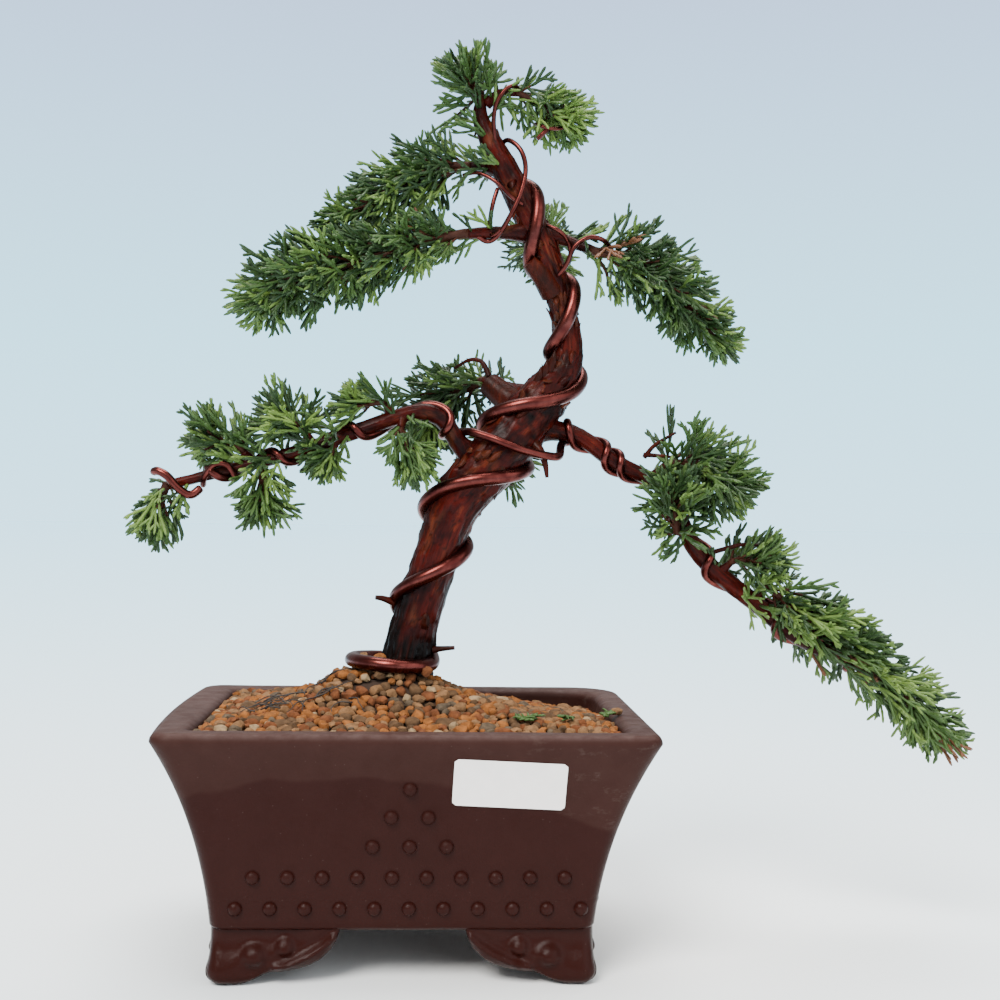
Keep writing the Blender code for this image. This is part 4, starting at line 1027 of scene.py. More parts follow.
def make_wires(paths, copper):
    distance = BOUGH_WIRE_RADIUS + BOUGH_WIRE_BITE
    left = coil(paths["left_bough"], LEFT_WIRE_CROSSINGS, distance, LEFT_WIRE_LEAD)
    right = coil(paths["right_bough"], RIGHT_WIRE_CROSSINGS, distance, RIGHT_WIRE_LEAD)
    second = coil(paths["right_bough"], SECOND_WIRE_CROSSINGS, distance)
    bridged = [*reversed(left), *map(Vector, WIRE_BRIDGE), *right]
    for node, points, rounds, radius, sides in (
        ("trunk_wire", trunk_coil(paths["trunk"]), 2, TRUNK_WIRE_RADIUS, TRUNK_WIRE_SIDES),
        ("bough_wire", bridged, 6, BOUGH_WIRE_RADIUS, BOUGH_WIRE_SIDES),
        ("second_wire", second, 4, BOUGH_WIRE_RADIUS, BOUGH_WIRE_SIDES),
    ):
        wire = Shape()
        rows = evened(points, rounds=rounds)
        tube(wire, rows, wire_ends(rows, radius), sides)
        wire.make(f"{node}_round", [copper], "copper_wire", [node], sharp=60)
    thin = Shape()
    for radius, keys in THIN_WIRES.values():
        path = smooth_path([(*key, radius) for key in keys], 0.8)
        rows = evened([place for place, _ in path], 0.8)
        tube(thin, rows, wire_ends(rows, radius), THIN_WIRE_SIDES)
    thin.make("thin_wires", [copper], "copper_wire", sharp=60)


# ---- foliage ----


class Space:
    """The room that one mass keeps to: all that lies within reach of its stem."""

    def __init__(self, spread, keys):
        self.spread = Vector(spread)
        self.spine = [(self.shrunk(Vector(key[:3])), key[3]) for key in keys]

    def shrunk(self, place):
        return Vector(value / wide for value, wide in zip(place, self.spread))

    def depth(self, place):
        """How far inside the space a place lies, negative outside."""
        spot = self.shrunk(place)
        best = -math.inf
        for (a, reach_a), (b, reach_b) in zip(self.spine, self.spine[1:]):
            along = b - a
            t = min(1.0, max(0.0, (spot - a).dot(along) / along.length_squared))
            best = max(best, reach_a + (reach_b - reach_a) * t - (spot - a - along * t).length)
        return best


class Limbs:
    """Tells how far a place is from the nearest limb's surface."""

    def __init__(self, paths):
        self.spots = [spot for path in paths.values() for spot in path]
        self.tree = kdtree.KDTree(len(self.spots))
        for i, (place, _) in enumerate(self.spots):
            self.tree.insert(place, i)
        self.tree.balance()

    def clear(self, place):
        near = self.tree.find_range(place, LIMB_REACH)
        return min((apart - self.spots[i][1] for _, i, apart in near), default=math.inf)


def across(along, angle):
    """A unit vector square to along, turned by angle about it."""
    side = along.orthogonal().normalized()
    return Matrix.Rotation(angle, 3, along) @ side


def way_out(space, base, direction, most):
    """The distance from base to the edge of the space, up to most."""
    distance = 0.0
    while distance < most and space.depth(base + direction * distance) > 0:
        distance += 1.0
    return distance


class Sprays:
    """Gathers one mass's twigs, cords and shoots."""

    def __init__(self, name, space, limbs, rng):
        self.space = space
        self.limbs = limbs
        self.rng = rng
        self.name = name
        self.lean = Vector(LEANS.get(name, (0, 0, 0)))
        self.twigs = []
        self.cords = []
        self.shoots = []

    def pick_kind(self, base):
        """Inner sprays are deeper, partly as painted shade inside the mass; outer ones fresher."""
        shares = list(MASS_KINDS.get(self.name, USUAL_KINDS))
        if self.space.depth(base) > 7:
            # painted shade: deep green more often and bright green less inside the mass
            shares[0] *= 2.0
            shares[3] *= 0.4
        return self.rng.choices(range(len(KINDS)), shares)[0]

    def add_cord(self, base, run, bend, radius, kind):
        """A single cord, unless it would leave the space or run into a limb."""
        tip = base + run + bend
        if self.space.depth(tip) < -RAGGED:
            return False
        if self.limbs.clear(base + run * 0.6) < 0.5 or self.limbs.clear(tip) < 0.7:
            return False
        rows = self.cords if run.length > LONG_CORD else self.shoots
        rows.append((base, run, bend, radius, kind))
        return True

    def add_frond(self, base, direction, kind, size=1.0):
        """A flat fan of cords: one runs on to the tip, and shorter ones leave it in turn at either side."""
        rng = self.rng
        direction = (direction + self.lean * rng.uniform(0.3, 1.3)).normalized()
        wanted = rng.triangular(FROND_LENGTH[0], FROND_LENGTH[1], 16.0) * size
        length = min(wanted, way_out(self.space, base, direction, wanted) + RAGGED * rng.random() ** 1.7)
        if length < 3.5:
            return
        bend = across(direction, rng.uniform(0, math.tau)) + Vector((0, 0, 0.2))
        bend = bend * length * rng.uniform(0.02, 0.13)
        radius = rng.uniform(*CORD_RADIUS)
        if not self.add_cord(base, direction * length, bend, radius, kind):
            return
        plane = across(direction, rng.uniform(0, math.tau))
        hand = rng.choice((-1, 1))
        at = rng.uniform(0.8, 3.0)
        while at < length * 0.88:
            share = at / length
            root = base + direction * at + bend * share**2
            ahead = (direction * length + bend * 2 * share).normalized()
            side = Matrix.Rotation(rng.uniform(-0.8, 0.8), 3, ahead) @ plane * hand
            lean = (ahead * rng.uniform(1.0, 1.6) + side * rng.uniform(0.7, 1.1)).normalized()
            reach = (length - at) * rng.uniform(0.5, 0.95) + rng.uniform(1.5, 3.5)
            curl = (ahead - lean) * reach * rng.uniform(0.05, 0.3)
            grown = self.add_cord(root, lean * reach, curl, radius * rng.uniform(0.85, 1.0), kind)
            if grown and reach > SHOOTS_FROM:
                self.add_shoots(root, lean, reach, curl, side, radius, kind)
            hand = -hand
            at += rng.uniform(*FROND_STEP)

    def add_shoots(self, base, direction, length, bend, side, radius, kind):
        """Short shoots along a side cord."""
        rng = self.rng
        for k in range(rng.randint(0, 2)):
            share = rng.uniform(0.3, 0.8)
            root = base + direction * length * share + bend * share**2
            out = side * (1 if k % 2 else -1)
            lean = (direction * 1.2 + out * rng.uniform(0.5, 0.9)).normalized()
            self.add_cord(root, lean * rng.uniform(2.0, 4.4), bend * 0.1, radius * 0.9, kind)

    def add_twig(self, base, direction, length):
        """A twig with fronds in turn at either side and one that runs on from its end."""
        rng = self.rng
        tip = base + direction * length
        if self.limbs.clear(tip) < 0.8:
            return
        bend = across(direction, rng.uniform(0, math.tau)) * length * rng.uniform(0, 0.12)
        self.twigs.append((base, direction * length, bend))
        kind = self.pick_kind(tip)
        plane = rng.uniform(0, math.tau)
        count = round(length / FROND_SPACING)
        for i in range(count):
            share = (i + 0.7) / (count + 0.4)
            root = base + direction * length * share + bend * share**2
            side = across(direction, plane + math.pi * i + rng.uniform(-0.6, 0.6))
            own = kind if rng.random() < 0.7 else self.pick_kind(root)
            self.add_frond(root, (direction * rng.uniform(0.6, 1.4) + side).normalized(), own, 0.85)
        self.add_frond(tip + bend, (direction * length + bend * 2).normalized(), kind)


def bent_tubes(rows, profile, sides):
    """Points and faces of many small bent tubes at once, each from (base, run, bend, radius)."""
    base = np.array([tuple(row[0]) for row in rows])
    run = np.array([tuple(row[1]) for row in rows])
    bend = np.array([tuple(row[2]) for row in rows])
    share = np.array([at for at, _ in profile])
    width = np.array([row[3] for row in rows])[:, None] * np.array([size for _, size in profile])[None, :]
    line = base[:, None] + run[:, None] * share[None, :, None] + bend[:, None] * share[None, :, None] ** 2
    along = unit(run[:, None] + 2 * bend[:, None] * share[None, :, None])
    flat = np.where(np.abs(unit(run)[:, 2:3]) < 0.8, [[0.0, 0.0, 1.0]], [[1.0, 0.0, 0.0]])
    side = unit(np.cross(along, flat[:, None]))
    up = np.cross(along, side)
    angles = np.arange(sides) * math.tau / sides
    ring = side[:, :, None] * np.cos(angles)[:, None] + up[:, :, None] * np.sin(angles)[:, None]
    grid = line[:, :, None] + ring * width[:, :, None, None]
    return grid.reshape(-1, 3), len(profile) * sides


def add_tubes(shape, rows, profile, sides):
    """Adds the tubes kind by kind, each row's last value being its kind."""
    for kind in sorted({row[4] for row in rows}):
        chosen = [row for row in rows if row[4] == kind]
        points, size = bent_tubes(chosen, profile, sides)
        faces = []
        for group in grid_faces(len(profile), sides):
            group = np.asarray(group)
            steps = np.arange(len(chosen))[:, None, None] * size
            faces.append((group[None] + steps).reshape(-1, group.shape[-1]))
        shape.add(points, faces, kind)


def sprout(sprays, space, paths, density):
    """Fronds that grow from the thin limbs where they pass through the mass's space."""
    rng = sprays.rng
    for path in paths.values():
        total = lengths_along(path)
        reached = 0.0
        for i, (place, radius) in enumerate(path):
            if radius > LIMB_FROND_MOST or total[i] < reached or space.depth(place) < 1.0:
                continue
            reached = total[i] + LIMB_FROND_STEP / density * rng.uniform(0.7, 1.3)
            along = tangent(path, i)
            for _ in range(2):
                side = across(along, rng.uniform(0, math.tau))
                direction = (along * rng.uniform(0.2, 1.3) + side).normalized()
                if space.depth(place + direction * (radius + 7)) > 0:
                    sprays.add_frond(place + side * radius * 0.9, direction, sprays.pick_kind(place), 0.85)


def grow_mass(name, paths, limbs, leaves, twig):
    """One mass by the growing rule, as a piece of cords and a piece of twigs."""
    carrier, spread, *keys = MASSES[name]
    rng = random.Random(f"{SEED}{name}")
    space = Space(spread, keys)
    sprays = Sprays(name, space, limbs, rng)
    tip, tip_radius = paths[carrier][-1]
    lead = tangent(paths[carrier], len(paths[carrier]) - 1) * STEM_LEAD
    rows = [(*tip, tip_radius), (*(tip + lead), tip_radius * 0.95)]
    for i, key in enumerate(keys[1:]):
        rows.append((*key[:3], tip_radius + (STEM_END_RADIUS - tip_radius) * (i + 1) / (len(keys) - 1)))
    stem = smooth_path(rows, 1.5)
    total = lengths_along(stem)
    density = DENSITIES.get(name, 1.0)
    rings = max(3, round(total[-1] / STEM_STEP * density))
    for ring in range(rings + 1):
        index = index_where(total, total[-1] * (0.03 + 0.97 * ring / rings))
        i = min(int(index), len(stem) - 2)
        base = stem[i][0].lerp(stem[i + 1][0], index - i)
        along = tangent(stem, i)
        for k in range(3):
            side = across(along, ring * TURN_PER_RING + k * math.tau / 3 + rng.uniform(-0.4, 0.4))
            direction = (along * rng.uniform(*TWIG_FORWARD) + side).normalized()
            length = way_out(space, base, direction, 30) * rng.uniform(*TWIG_SHARE)
            if length > TWIG_MIN:
                sprays.add_twig(base, direction, min(length, TWIG_MAX))
    end = tangent(stem, len(stem) - 1)
    for i in range(4):
        lean = (end + across(end, i * math.tau / 4) * 0.6 * (i > 0)).normalized()
        sprays.add_frond(stem[-1][0], lean, sprays.pick_kind(stem[-1][0]))
    sprout(sprays, space, paths, density)
    shape = Shape()
    add_tubes(shape, sprays.cords, CORD_SHAPE, CORD_SIDES)
    add_tubes(shape, sprays.shoots, SHOOT_SHAPE, SHOOT_SIDES)
    shape.make(f"{name}_leaves", leaves, "foliage", [name])
    wood = Shape()
    tube(wood, *zip(*stem), STEM_SIDES)
    for base, run, bend in sprays.twigs:
        line = [base + run * t + bend * t**2 for t in (0, 0.33, 0.67, 1)]
        tube(wood, line, np.linspace(TWIG_RADIUS, TWIG_TIP_RADIUS, 4), TWIG_SIDES)
    wood.make(f"{name}_twigs", [twig], "bark")
    return len(sprays.cords), len(sprays.shoots), len(sprays.twigs)


# ---- pot ----


def flare_at(height):
    t = max(0.0, (height - BODY_BOTTOM) / (POT_HEIGHT - LIP - BODY_BOTTOM))
    return FLARE_STRAIGHT * t + (1 - FLARE_STRAIGHT) * t**FLARE_POWER


def half_sizes(height):
    inward = 1 - flare_at(height)
    return POT_LENGTH / 2 - FLARE_LENGTH * inward, POT_DEPTH / 2 - FLARE_DEPTH * inward


def skew(height):
    return SKEW * max(0.0, 1 - flare_at(height))


def rounded_ring(half_length, half_depth, radii, height):
    """A rectangle with round corners, radii (front, back left, back right), with points along its sides."""
    front, back_left, back_right = radii
    corners = ((1, 1, back_right), (-1, 1, back_left), (-1, -1, front), (1, -1, front))
    ring = []
    for quarter, (sign_x, sign_y, radius) in enumerate(corners):
        for step in range(CORNER_STEPS + 1):
            angle = math.radians(90) * (quarter + step / CORNER_STEPS)
            x = sign_x * (half_length - radius) + radius * math.cos(angle)
            y = sign_y * (half_depth - radius) + radius * math.sin(angle)
            ring.append((x, y, height))
        sign_x, sign_y, after = corners[(quarter + 1) % 4]
        if quarter % 2 == 0:
            end = (sign_x * (half_length - after), sign_y * half_depth, height)
        else:
            end = (sign_x * half_length, sign_y * (half_depth - after), height)
        start = ring[-1]
        for k in range(1, SIDE_PARTS):
            ring.append(tuple(p + (q - p) * k / SIDE_PARTS for p, q in zip(start, end)))
    return ring


def pot_rings():
    """(half length, half depth, corner radii, height) from under the body, over the rim, to the floor."""
    rings = []
    bottom = half_sizes(BODY_BOTTOM)
    body = (CORNER_RADIUS,) * 3
    for inset, up in ((14.0, -0.4), (3.0, -0.4), (1.2, -0.1), (0.3, 0.7)):
        rings.append((bottom[0] - inset, bottom[1] - inset, body, BODY_BOTTOM + up))
    edge = POT_HEIGHT - LIP
    for i in range(WALL_RINGS):
        t = (i + 0.6) / (WALL_RINGS - 0.4)
        height = BODY_BOTTOM + (edge - BODY_BOTTOM) * t
        radii = [CORNER_RADIUS + (end - CORNER_RADIUS) * max(0.0, t - 0.3) / 0.7 for end in RIM_CORNERS]
        rings.append((*half_sizes(height), radii, height))
    length, depth = POT_LENGTH / 2, POT_DEPTH / 2
    for i in range(1, LIP_RINGS + 1):
        angle = math.radians(90) * i / LIP_RINGS
        inset = LIP * 0.8 * (1 - math.cos(angle))
        radii = [radius - inset * 0.4 for radius in RIM_CORNERS]
        rings.append((length - inset, depth - inset, radii, edge + LIP * math.sin(angle)))
    inner = [max(4.0, radius - 1.5) for radius in RIM_CORNERS]
    length, depth = length - RIM_WIDTH, depth - RIM_WIDTH
    for i in range(LIP_RINGS + 1):
        angle = math.radians(90) * i / LIP_RINGS
        inset = INNER_LIP * (1 - math.sin(angle))
        drop = INNER_LIP * 0.8 * (1 - math.cos(angle))
        rings.append((length + inset, depth + inset, inner, POT_HEIGHT - drop))
    neck = half_sizes(NECK_HEIGHT)
    floor = half_sizes(BODY_BOTTOM + FLOOR_THICKNESS)
    rings.append((neck[0] - WALL, neck[1] - WALL, body, NECK_HEIGHT))
    rings.append((floor[0] - WALL, floor[1] - WALL, body, BODY_BOTTOM + FLOOR_THICKNESS))
    return rings


def apart_from_line(line, spot):
    """The distance in a plane from a spot to a line through some points."""
    least = math.inf
    for a, b in zip(line, line[1:]):
        a, b = Vector(a), Vector(b)
        share = min(1.0, max(0.0, (spot - a).dot(b - a) / (b - a).length_squared))
        least = min(least, (spot - a.lerp(b, share)).length)
    return least


def foot_outward(along, up, low):
    """How far the foot's face stands out from the body: waist, toe, scrolls, ridge and rounded edges."""
    waist = min(1.0, max(0.0, (up - 9.5) / 7.5))
    out = -FOOT_WAIST * waist * waist * (3 - 2 * waist) * min(1.0, max(0.25, (50 - along) / 20))
    out += 1.3 * math.exp(-(((along - 5) / 8) ** 2) - ((up - 4.5) / 4.2) ** 2)
    out -= 0.9 * math.exp(-(((along - 8) / 6) ** 2) - ((up - 12.0) / 3.2) ** 2)
    for middle, height, radius, proud in FOOT_KNOBS:
        apart = math.hypot(along - middle, up - height) / radius
        out += proud * math.exp(-((apart / 0.82) ** 4))
        below = math.hypot((along - middle - 0.4) / 0.9, (up - height + radius * 1.15) / 0.5) / radius
        out -= 0.9 * math.exp(-((below * 1.1) ** 2))
    apart = apart_from_line(FOOT_RIDGE, Vector((along, up)))
    out += 1.2 * math.exp(-((apart / 1.3) ** 2)) - 0.4 * math.exp(-(((apart - 2.8) / 1.2) ** 2))
    past = max(0.0, 1 - (up - low) / 3.2)
    out -= 2.6 * (1 - math.sqrt(1 - min(1.0, past) ** 2))
    if along < CORNER_RADIUS:
        out -= CORNER_RADIUS - math.sqrt(CORNER_RADIUS**2 - (CORNER_RADIUS - along) ** 2)
    return out


def add_foot(shape, sign_x, sign_y, along_y):
    """One apron of a foot: a closed slab with a carved face, along X or along Y from its corner."""
    half_length, half_depth = half_sizes(BODY_BOTTOM)
    start = SIDE_FOOT_START if along_y else 0.0
    columns, rows = FOOT_GRID
    face, back = [], []
    for j in range(rows + 1):
        for i in range(columns + 1):
            along = start + (FOOT_LENGTH - start) * i / columns
            low = float(np.interp(along, *zip(*FOOT_EDGE)))
            up = low + (FOOT_TOP - low) * j / rows
            # the toe swells sideways too, so that the two aprons of a corner meet in it
            ahead = along - TOE_SWELL * math.exp(-(((up - 4.5) / 4.2) ** 2)) * max(0.0, 1 - along / 14)
            outs = foot_outward(along, up, low), 1.5 * (j == 0) - FOOT_THICKNESS
            for points, out in zip((face, back), outs):
                x, y = (-out, ahead) if along_y else (ahead, -out)
                points.append((sign_x * (half_length - x) + SKEW, sign_y * (half_depth - y), up))
    faces = slab_faces(columns, rows)
    if (sign_x == sign_y) == along_y:
        faces = [[(a, d, c, b) for a, b, c, d in group] for group in faces]
    shape.add(face + back, faces)


def add_toe(shape, sign_x, sign_y):
    """The round toe under a corner of the pot, level where it stands."""
    half_length, half_depth = half_sizes(BODY_BOTTOM)
    x, y = sign_x * (half_length - TOE[0]) + SKEW, sign_y * (half_depth - TOE[1])

    def moved(place):
        up = max(0.0, TOE[2] + place.z * TOE_SIZE[2] * 1.08)
        return x + place.x * TOE_SIZE[0], y + place.y * TOE_SIZE[1], up

    shape.add_ball(36, 20, moved)


def add_boss(shape, place, outward):
    size = Matrix.Diagonal((BOSS_RADIUS, BOSS_RADIUS, BOSS_PROUD, 1))
    matrix = Matrix.Translation(place) @ outward.to_track_quat("Z", "Y").to_matrix().to_4x4() @ size
    shape.add_ball(14, 10, lambda spot: matrix @ spot)


def make_pot(clay):
    shape = Shape()
    rings = []
    for length, depth, radii, height in pot_rings():
        ring = []
        share = max(0.0, (2 * length / POT_LENGTH - 0.87) / 0.13) ** 2
        for x, y, z in rounded_ring(length, depth, radii, height):
            if x < -length / 2:
                x -= share * (LEFT_BOW * (1 - (y / depth) ** 2) + LEFT_SPREAD * (1 + y / depth) / 2)
            swell = noise.noise(Vector((x, y, z)) * 0.03) * 0.35 * (height > 40)
            z += min(0.0, swell) if height > POT_HEIGHT - 1 else 0.0
            ring.append((x + skew(height), y, z))
        rings.append(ring)
    shape.add(np.array(rings), grid_faces(len(rings), len(rings[0])))
    for sign_x in (-1, 1):
        for sign_y in (-1, 1):
            add_toe(shape, sign_x, sign_y)
            for along_y in (False, True):
                add_foot(shape, sign_x, sign_y, along_y)
    for row, (height, long_count, short_count) in enumerate(BOSS_ROWS):
        half_length, half_depth = half_sizes(height)
        spacing = BOSS_SPACING if row < BOSS_FULL_ROWS else BOSS_UPPER_SPACING
        for count, wall, across_x in ((long_count, half_depth, False), (short_count, half_length, True)):
            for i in range(count):
                along = (i - (count - 1) / 2) * spacing
                for side in (-1, 1):
                    if across_x:
                        place, out = Vector((side * wall + skew(height), along, height)), Vector((side, 0, 0))
                    else:
                        place, out = Vector((along + BOSS_SHIFT, side * wall, height)), Vector((0, side, 0))
                    add_boss(shape, place, out)
    shape.make("pot_clay", [clay], "clay", ["pot"], sharp=40)


def make_label(paper):
    """A blank sticker with rounded corners that lies on the flare of the front wall."""
    shape = Shape()
    grid = []
    for j in range(LABEL_ROWS + 1):
        for i in range(LABEL_COLUMNS + 1):
            across_it = (i / LABEL_COLUMNS - 0.5) * LABEL_LENGTH
            up = (j / LABEL_ROWS - 0.5) * LABEL_HEIGHT
            past = max(0.0, abs(up) - (LABEL_HEIGHT / 2 - LABEL_CORNER))
            inset = LABEL_CORNER - math.sqrt(max(0.0, LABEL_CORNER**2 - past**2))
            across_it *= 1 - inset * 2 / LABEL_LENGTH
            x = LABEL_X + across_it * math.cos(LABEL_TURN) + up * math.sin(LABEL_TURN)
            z = LABEL_BOTTOM + LABEL_HEIGHT / 2 + up * math.cos(LABEL_TURN) - across_it * math.sin(LABEL_TURN)
            grid.append((x, -half_sizes(z)[1], z))
    front, back = [np.array(grid) + (0, lift, 0) for lift in LABEL_LIFT]
    shape.add(np.concatenate([front, back]), slab_faces(LABEL_COLUMNS, LABEL_ROWS))
    shape.make("label_blank", [paper], "sticker", ["label"], sharp=40)


# ---- soil ----


def inner_wall(height):
    neck = half_sizes(NECK_HEIGHT)
    low = (neck[0] - WALL, neck[1] - WALL)
    high = (POT_LENGTH / 2 - RIM_WIDTH, POT_DEPTH / 2 - RIM_WIDTH)
    share = (height - NECK_HEIGHT) / (POT_HEIGHT - NECK_HEIGHT)
    return [a + (b - a) * share for a, b in zip(low, high)]


def mound_height(x, y):
    """The soil's height: it rises evenly from the walls, then steeply to the level top by the trunk."""
    wall_length, wall_depth = inner_wall(SOIL_EDGE)
    low, high = 0.0, 1.0
    for _ in range(12):
        t = (low + high) / 2
        length = wall_length + (SOIL_PLATEAU[0] - wall_length) * t
        depth = wall_depth + (SOIL_PLATEAU[1] - wall_depth) * t
        corner = CORNER_RADIUS + (SOIL_CORNER - CORNER_RADIUS) * t
        along = max(0.0, abs(x - SOIL_PLATEAU_X * t) - (length - corner))
        deep = max(0.0, abs(y) - (depth - corner))
        if math.hypot(along, deep) <= corner:
            low = t
        else:
            high = t
    rise = SOIL_EVEN_SHARE * low + (1 - SOIL_EVEN_SHARE) * low**SOIL_POWER
    dip = SOIL_DIP * min(1.0, max(0.0, x / 60)) * min(1.0, max(0.0, (y + 25) / 70))
    return SOIL_EDGE + (SOIL_TOP - SOIL_EDGE) * rise - dip


def granule_shapes(count, rng):
    """Broken pebbles of unit size, cut flat on several sides, as arrays of points with their common faces."""
    bm = bmesh.new()
    bmesh.ops.create_icosphere(bm, subdivisions=2, radius=0.5)
    base = [vert.co.copy() for vert in bm.verts]
    faces = [[vert.index for vert in face.verts] for face in bm.faces]
    bm.free()
    shapes = []
    for k in range(count):
        cuts = []
        for _ in range(GRANULE_CUTS):
            heading = Vector((rng.gauss(0, 1), rng.gauss(0, 1), rng.gauss(0, 1))).normalized()
            cuts.append((heading, rng.uniform(0.30, 0.44)))
        points = []
        for place in base:
            spot = place * (1 + 0.34 * noise.noise(place * 3.1 + Vector((k * 7.1, 0, 0))))
            for heading, far in cuts:
                past = spot.dot(heading) - far
                if past > 0:
                    spot = spot - heading * past * 0.85
            points.append(spot * (1.12 + 0.12 * noise.noise(place * 9 + Vector((0, k * 3.3, 0)))))
        squash = (rng.uniform(0.95, 1.3), rng.uniform(0.8, 1.1), rng.uniform(0.72, 1.0))
        shapes.append(np.array(points) * squash)
    return shapes, faces


def granule_places(rng, wall_length, wall_depth):
    """(x, y, size) of granules close together on the mound, the largest placed first."""
    cells = {}
    places = []
    for size, attempts in GRANULE_SIZES:
        for _ in range(attempts):
            here = size * rng.uniform(0.88, 1.12)
            edge = here * 0.42
            x = rng.uniform(-wall_length + edge, wall_length - edge)
            y = rng.uniform(-wall_depth + edge, wall_depth - edge)
            if math.hypot(x - TRUNK[1][0], y - TRUNK[1][1]) < TRUNK[1][3] + here * 0.25:
                continue
            spot = (int(x // GRANULE_CELL), int(y // GRANULE_CELL))
            near = [
                other for dx in (-1, 0, 1) for dy in (-1, 0, 1)
                for other in cells.get((spot[0] + dx, spot[1] + dy), ())
            ]
            if any(math.hypot(x - a, y - b) < (here + other) * GRANULE_CLOSE for a, b, other in near):
                continue
            cells.setdefault(spot, []).append((x, y, here))
            places.append((x, y, here))
    return places


def make_soil(looks, ground):
    """A dark mound, painted shade seen between the granules of several colours that lie over it."""
    rng = random.Random(f"{SEED}soil")
    wall_length, wall_depth = inner_wall(SOIL_EDGE)
    base = Shape()
    columns, rows = GROUND_GRID
    grid = []
    for j in range(rows + 1):
        for i in range(columns + 1):
            x, y = (i / columns * 2 - 1) * wall_length, (j / rows * 2 - 1) * wall_depth
            grid.append((x, y, mound_height(x, y) - GROUND_UNDER))
    base.add(grid, [sheet_faces(columns, rows)])
    # painted shade: this dark sheet shows in the gaps between granules
    base.make("soil_ground_shade", [ground], "granules", ["soil"])
    shapes, faces = granule_shapes(GRANULE_SHAPES, rng)
    piles = {kind: Shape() for kind in GRANULES}
    kinds = list(GRANULES)
    shares = [share for _, share in GRANULES.values()]
    places = granule_places(rng, wall_length, wall_depth)
    rows = []
    for x, y, size in places:
        height = mound_height(x, y) - size * GRANULE_SUNK + rng.uniform(-GRANULE_JITTER, GRANULE_JITTER)
        rows.append((x, y, height, size))
    rows += STRAY_GRANULES
    for x, y, height, size in rows:
        kind = rng.choices(kinds, shares)[0]
        turn = Matrix.Rotation(rng.uniform(0, math.tau), 3, "Z")
        turn = turn @ Matrix.Rotation(rng.uniform(-0.7, 0.7), 3, "X")
        points = rng.choice(shapes) * size @ np.array(turn).T + (x, y, height)
        piles[kind].add(points, [faces])
    for kind, pile in piles.items():
        pile.make(f"granules_{kind}", [looks[kind]], "granules", sharp=42)
    return len(rows)


# ---- small things on the plant ----


def make_stubs(bark):
    """Cut stubs, snags and knots, each a short tapering limb with a blunt end."""
    shape = Shape()
    for keys in STUBS:
        tube(shape, *zip(*smooth_path(keys, STUB_STEP)), STUB_SIDES)
    piece = shape.make("stubs", [bark], "bark", sharp=50)
    places = np.zeros(len(piece.data.vertices) * 3)
    piece.data.vertices.foreach_get("co", places)
    count = len(piece.data.vertices)
    mark(piece, places / MM, [0.3] * count, [0.1] * count)


def make_bits(dark, green):
    """Dead rootlets on the soil and small green sprigs that fell on it."""
    rng = random.Random(f"{SEED}bits")
    roots = Shape()
    for _ in range(ROOTLETS):
        x, y = [rng.uniform(*ends) for ends in ROOTLET_PATCH]
        heading = rng.uniform(0, math.tau)
        points = []
        for step in range(ROOTLET_STEPS + 1):
            lift = 1.6 + 2.2 * math.sin(step / ROOTLET_STEPS * math.pi) * rng.uniform(0.3, 1.0)
            points.append((x, y, mound_height(x, y) + lift))
            heading += rng.uniform(-0.55, 0.55)
            x += math.cos(heading) * ROOTLET_STEP
            y += math.sin(heading) * ROOTLET_STEP
        rows = evened(points, 0.9)
        tube(roots, rows, np.linspace(0.32, 0.14, len(rows)), 6)
    roots.make("rootlets", [dark], "bark")
    sprigs = Shape()
    for x, y, heading in FALLEN_SPRIGS:
        base = Vector((x, y, mound_height(x, y) + 2.4))
        line = Vector((math.cos(heading), math.sin(heading), 0.1))
        add_tubes(sprigs, [(base, line * 8, Vector((0, 0, -1.2)), 0.6, 0)], CORD_SHAPE, 5)
        shoots = []
        for k in range(9):
            turn = heading + (0.8 if k % 2 else -0.8) + rng.uniform(-0.2, 0.2)
            run = Vector((math.cos(turn), math.sin(turn), rng.uniform(-0.1, 0.5))) * rng.uniform(2.2, 4.6)
            shoots.append((base + line * (0.6 + k * 0.8), run, Vector((0, 0, -0.4)), 0.5, 0))
        add_tubes(sprigs, shoots, SHOOT_SHAPE, 5)
    sprigs.make("fallen_sprigs", [green], "foliage")


# ---- stage ----


def make_camera():
    data = bpy.data.cameras.new("camera")
    data.lens = CAMERA_LENS
    data.sensor_width = CAMERA_SENSOR
    data.clip_start, data.clip_end = CAMERA_CLIP
    camera = bpy.data.objects.new("camera", data)
    bpy.context.scene.collection.objects.link(camera)
    turn = Matrix.Rotation(-CAMERA_YAW, 4, "Z") @ Matrix.Rotation(math.radians(90) + CAMERA_PITCH, 4, "X")
    turn = turn @ Matrix.Rotation(CAMERA_ROLL, 4, "Z")
    camera.matrix_world = Matrix.Translation(ORIGIN + Vector(CAMERA_PLACE) * MM) @ turn
    bpy.context.scene.camera = camera


def add_sun(name, heading, spread, power, colour):
    """A wide soft light from far away, from the given direction."""
    data = bpy.data.lights.new(name, "SUN")
    data.energy = power
    data.angle = math.radians(spread)
    data.color = colour
    light = bpy.data.objects.new(name, data)
    bpy.context.scene.collection.objects.link(light)
    light.rotation_euler = Vector(heading).to_track_quat("Z", "Y").to_euler()


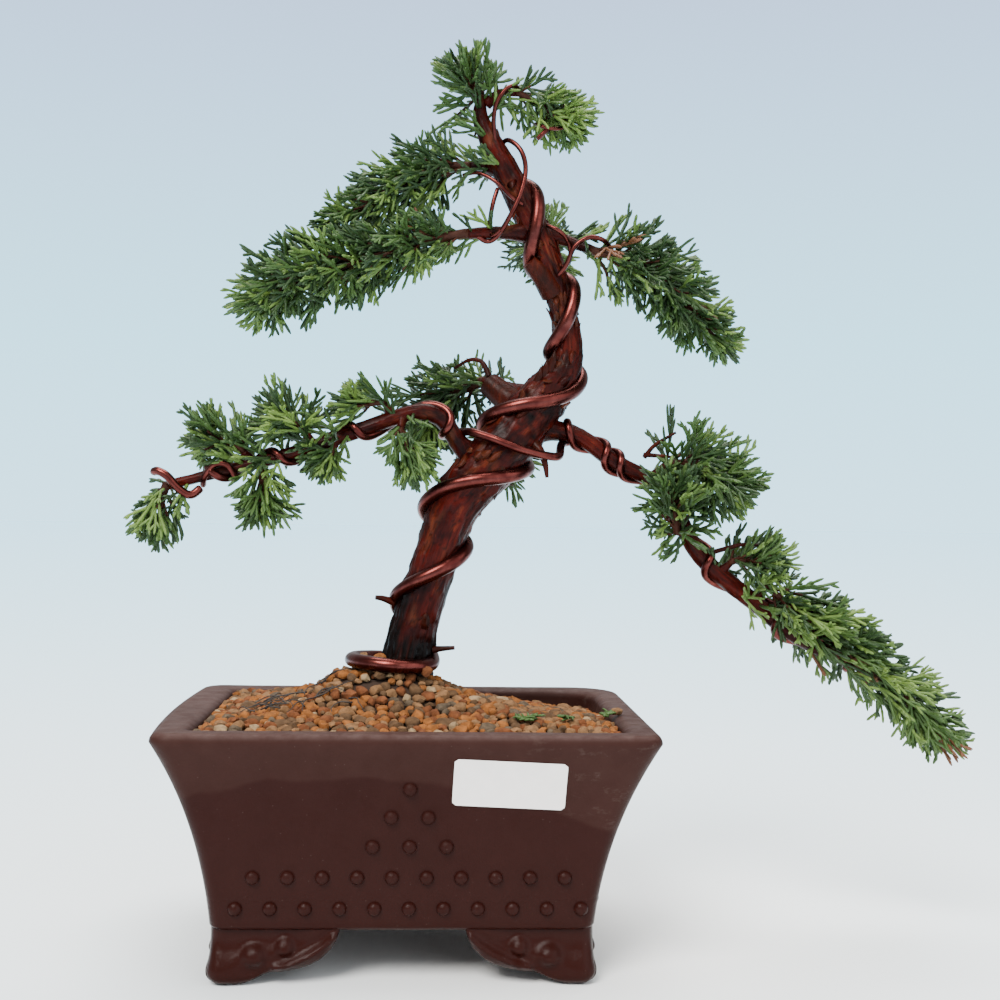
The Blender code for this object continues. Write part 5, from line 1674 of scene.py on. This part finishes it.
def make_world():
    """A pale studio: dimmer for lighting than it looks, so that dark clay and bark keep their depth."""
    world = bpy.data.worlds.new("studio")
    bpy.context.scene.world = world
    world.use_nodes = True
    nodes, links = world.node_tree.nodes, world.node_tree.links
    seen = nodes["Background"]
    height = nodes.new("ShaderNodeSeparateXYZ")
    links.new(nodes.new("ShaderNodeTexCoord").outputs["Generated"], height.inputs[0])
    ramp = nodes.new("ShaderNodeValToRGB")
    stops = ((0.0, SKY_LOW), (0.12, SKY_MIDDLE), (0.36, SKY_HIGH))
    ramp.color_ramp.elements.new(0.5)
    for element, (position, colour) in zip(ramp.color_ramp.elements, stops):
        element.position = position
        element.color = (*colour, 1)
    links.new(height.outputs["Z"], ramp.inputs["Fac"])
    links.new(ramp.outputs["Color"], seen.inputs["Color"])
    seen.inputs["Strength"].default_value = SKY_SEEN
    soft = nodes.new("ShaderNodeBackground")
    soft.inputs["Color"].default_value = (*SKY_LIGHT_COLOUR, 1)
    soft.inputs["Strength"].default_value = SKY_LIGHT
    path = nodes.new("ShaderNodeLightPath")
    mix = nodes.new("ShaderNodeMixShader")
    links.new(path.outputs["Is Camera Ray"], mix.inputs[0])
    links.new(soft.outputs[0], mix.inputs[1])
    links.new(seen.outputs[0], mix.inputs[2])
    links.new(mix.outputs[0], nodes["World Output"].inputs["Surface"])


def floor_look():
    """Plain and pale, whitest about the pot and cooler far from it."""
    look = Look("floor", 0.9)
    apart = look.node("ShaderNodeVectorMath", {0: look.place()}, operation="LENGTH").outputs["Value"]
    near = look.math("DIVIDE", 600.0, look.math("ADD", apart, 570.0))
    look.colour(look.ramp(near, [(0.0, FLOOR_FAR), (1.0, FLOOR_NEAR)]))
    look.bump(look.noise(look.place(), 40), 0.01, 0.5)
    return look.material


def make_stage():
    mesh = bpy.data.meshes.new("floor")
    corners = [(x * FLOOR_HALF, y * FLOOR_HALF, 0) for x, y in ((-1, -1), (1, -1), (1, 1), (-1, 1))]
    mesh.from_pydata(corners, [], [(0, 1, 2, 3)])
    floor = bpy.data.objects.new("floor", mesh)
    bpy.context.scene.collection.objects.link(floor)
    floor.location.z = ORIGIN.z - 0.0002
    mesh.materials.append(floor_look())
    make_world()
    for name, (heading, spread, power, colour) in SUNS.items():
        add_sun(name, heading, spread, power, colour)


# ---- the whole plant ----


def main():
    bark = bark_look()
    twig = twig_look()
    copper = wire_look()
    leaves = [cord_look(kind, colour) for kind, colour in GREENS.items()]
    paths = make_paths()
    make_camera()
    make_stage()
    make_pot(clay_look())
    make_label(plain_look("sticker", PAPER, 0.45, 2.0, 0.03))
    granules = {kind: granule_look(kind, colour) for kind, (colour, _) in GRANULES.items()}
    # the ground's colour is painted shade between the granules
    pebbles = make_soil(granules, plain_look("ground", GROUND_SHADE, 0.95, 1.5, 0.6))
    make_limbs(paths, bark)
    make_flakes(bark)
    make_wires(paths, copper)
    limbs = Limbs(paths)
    counts = [grow_mass(name, paths, limbs, leaves, twig) for name in MASSES]
    make_stubs(bark)
    make_bits(plain_look("rootlet", ROOTLET, 0.7), leaves[1])
    print("granules", pebbles, "cords, shoots, twigs", np.sum(counts, axis=0).tolist())


main()
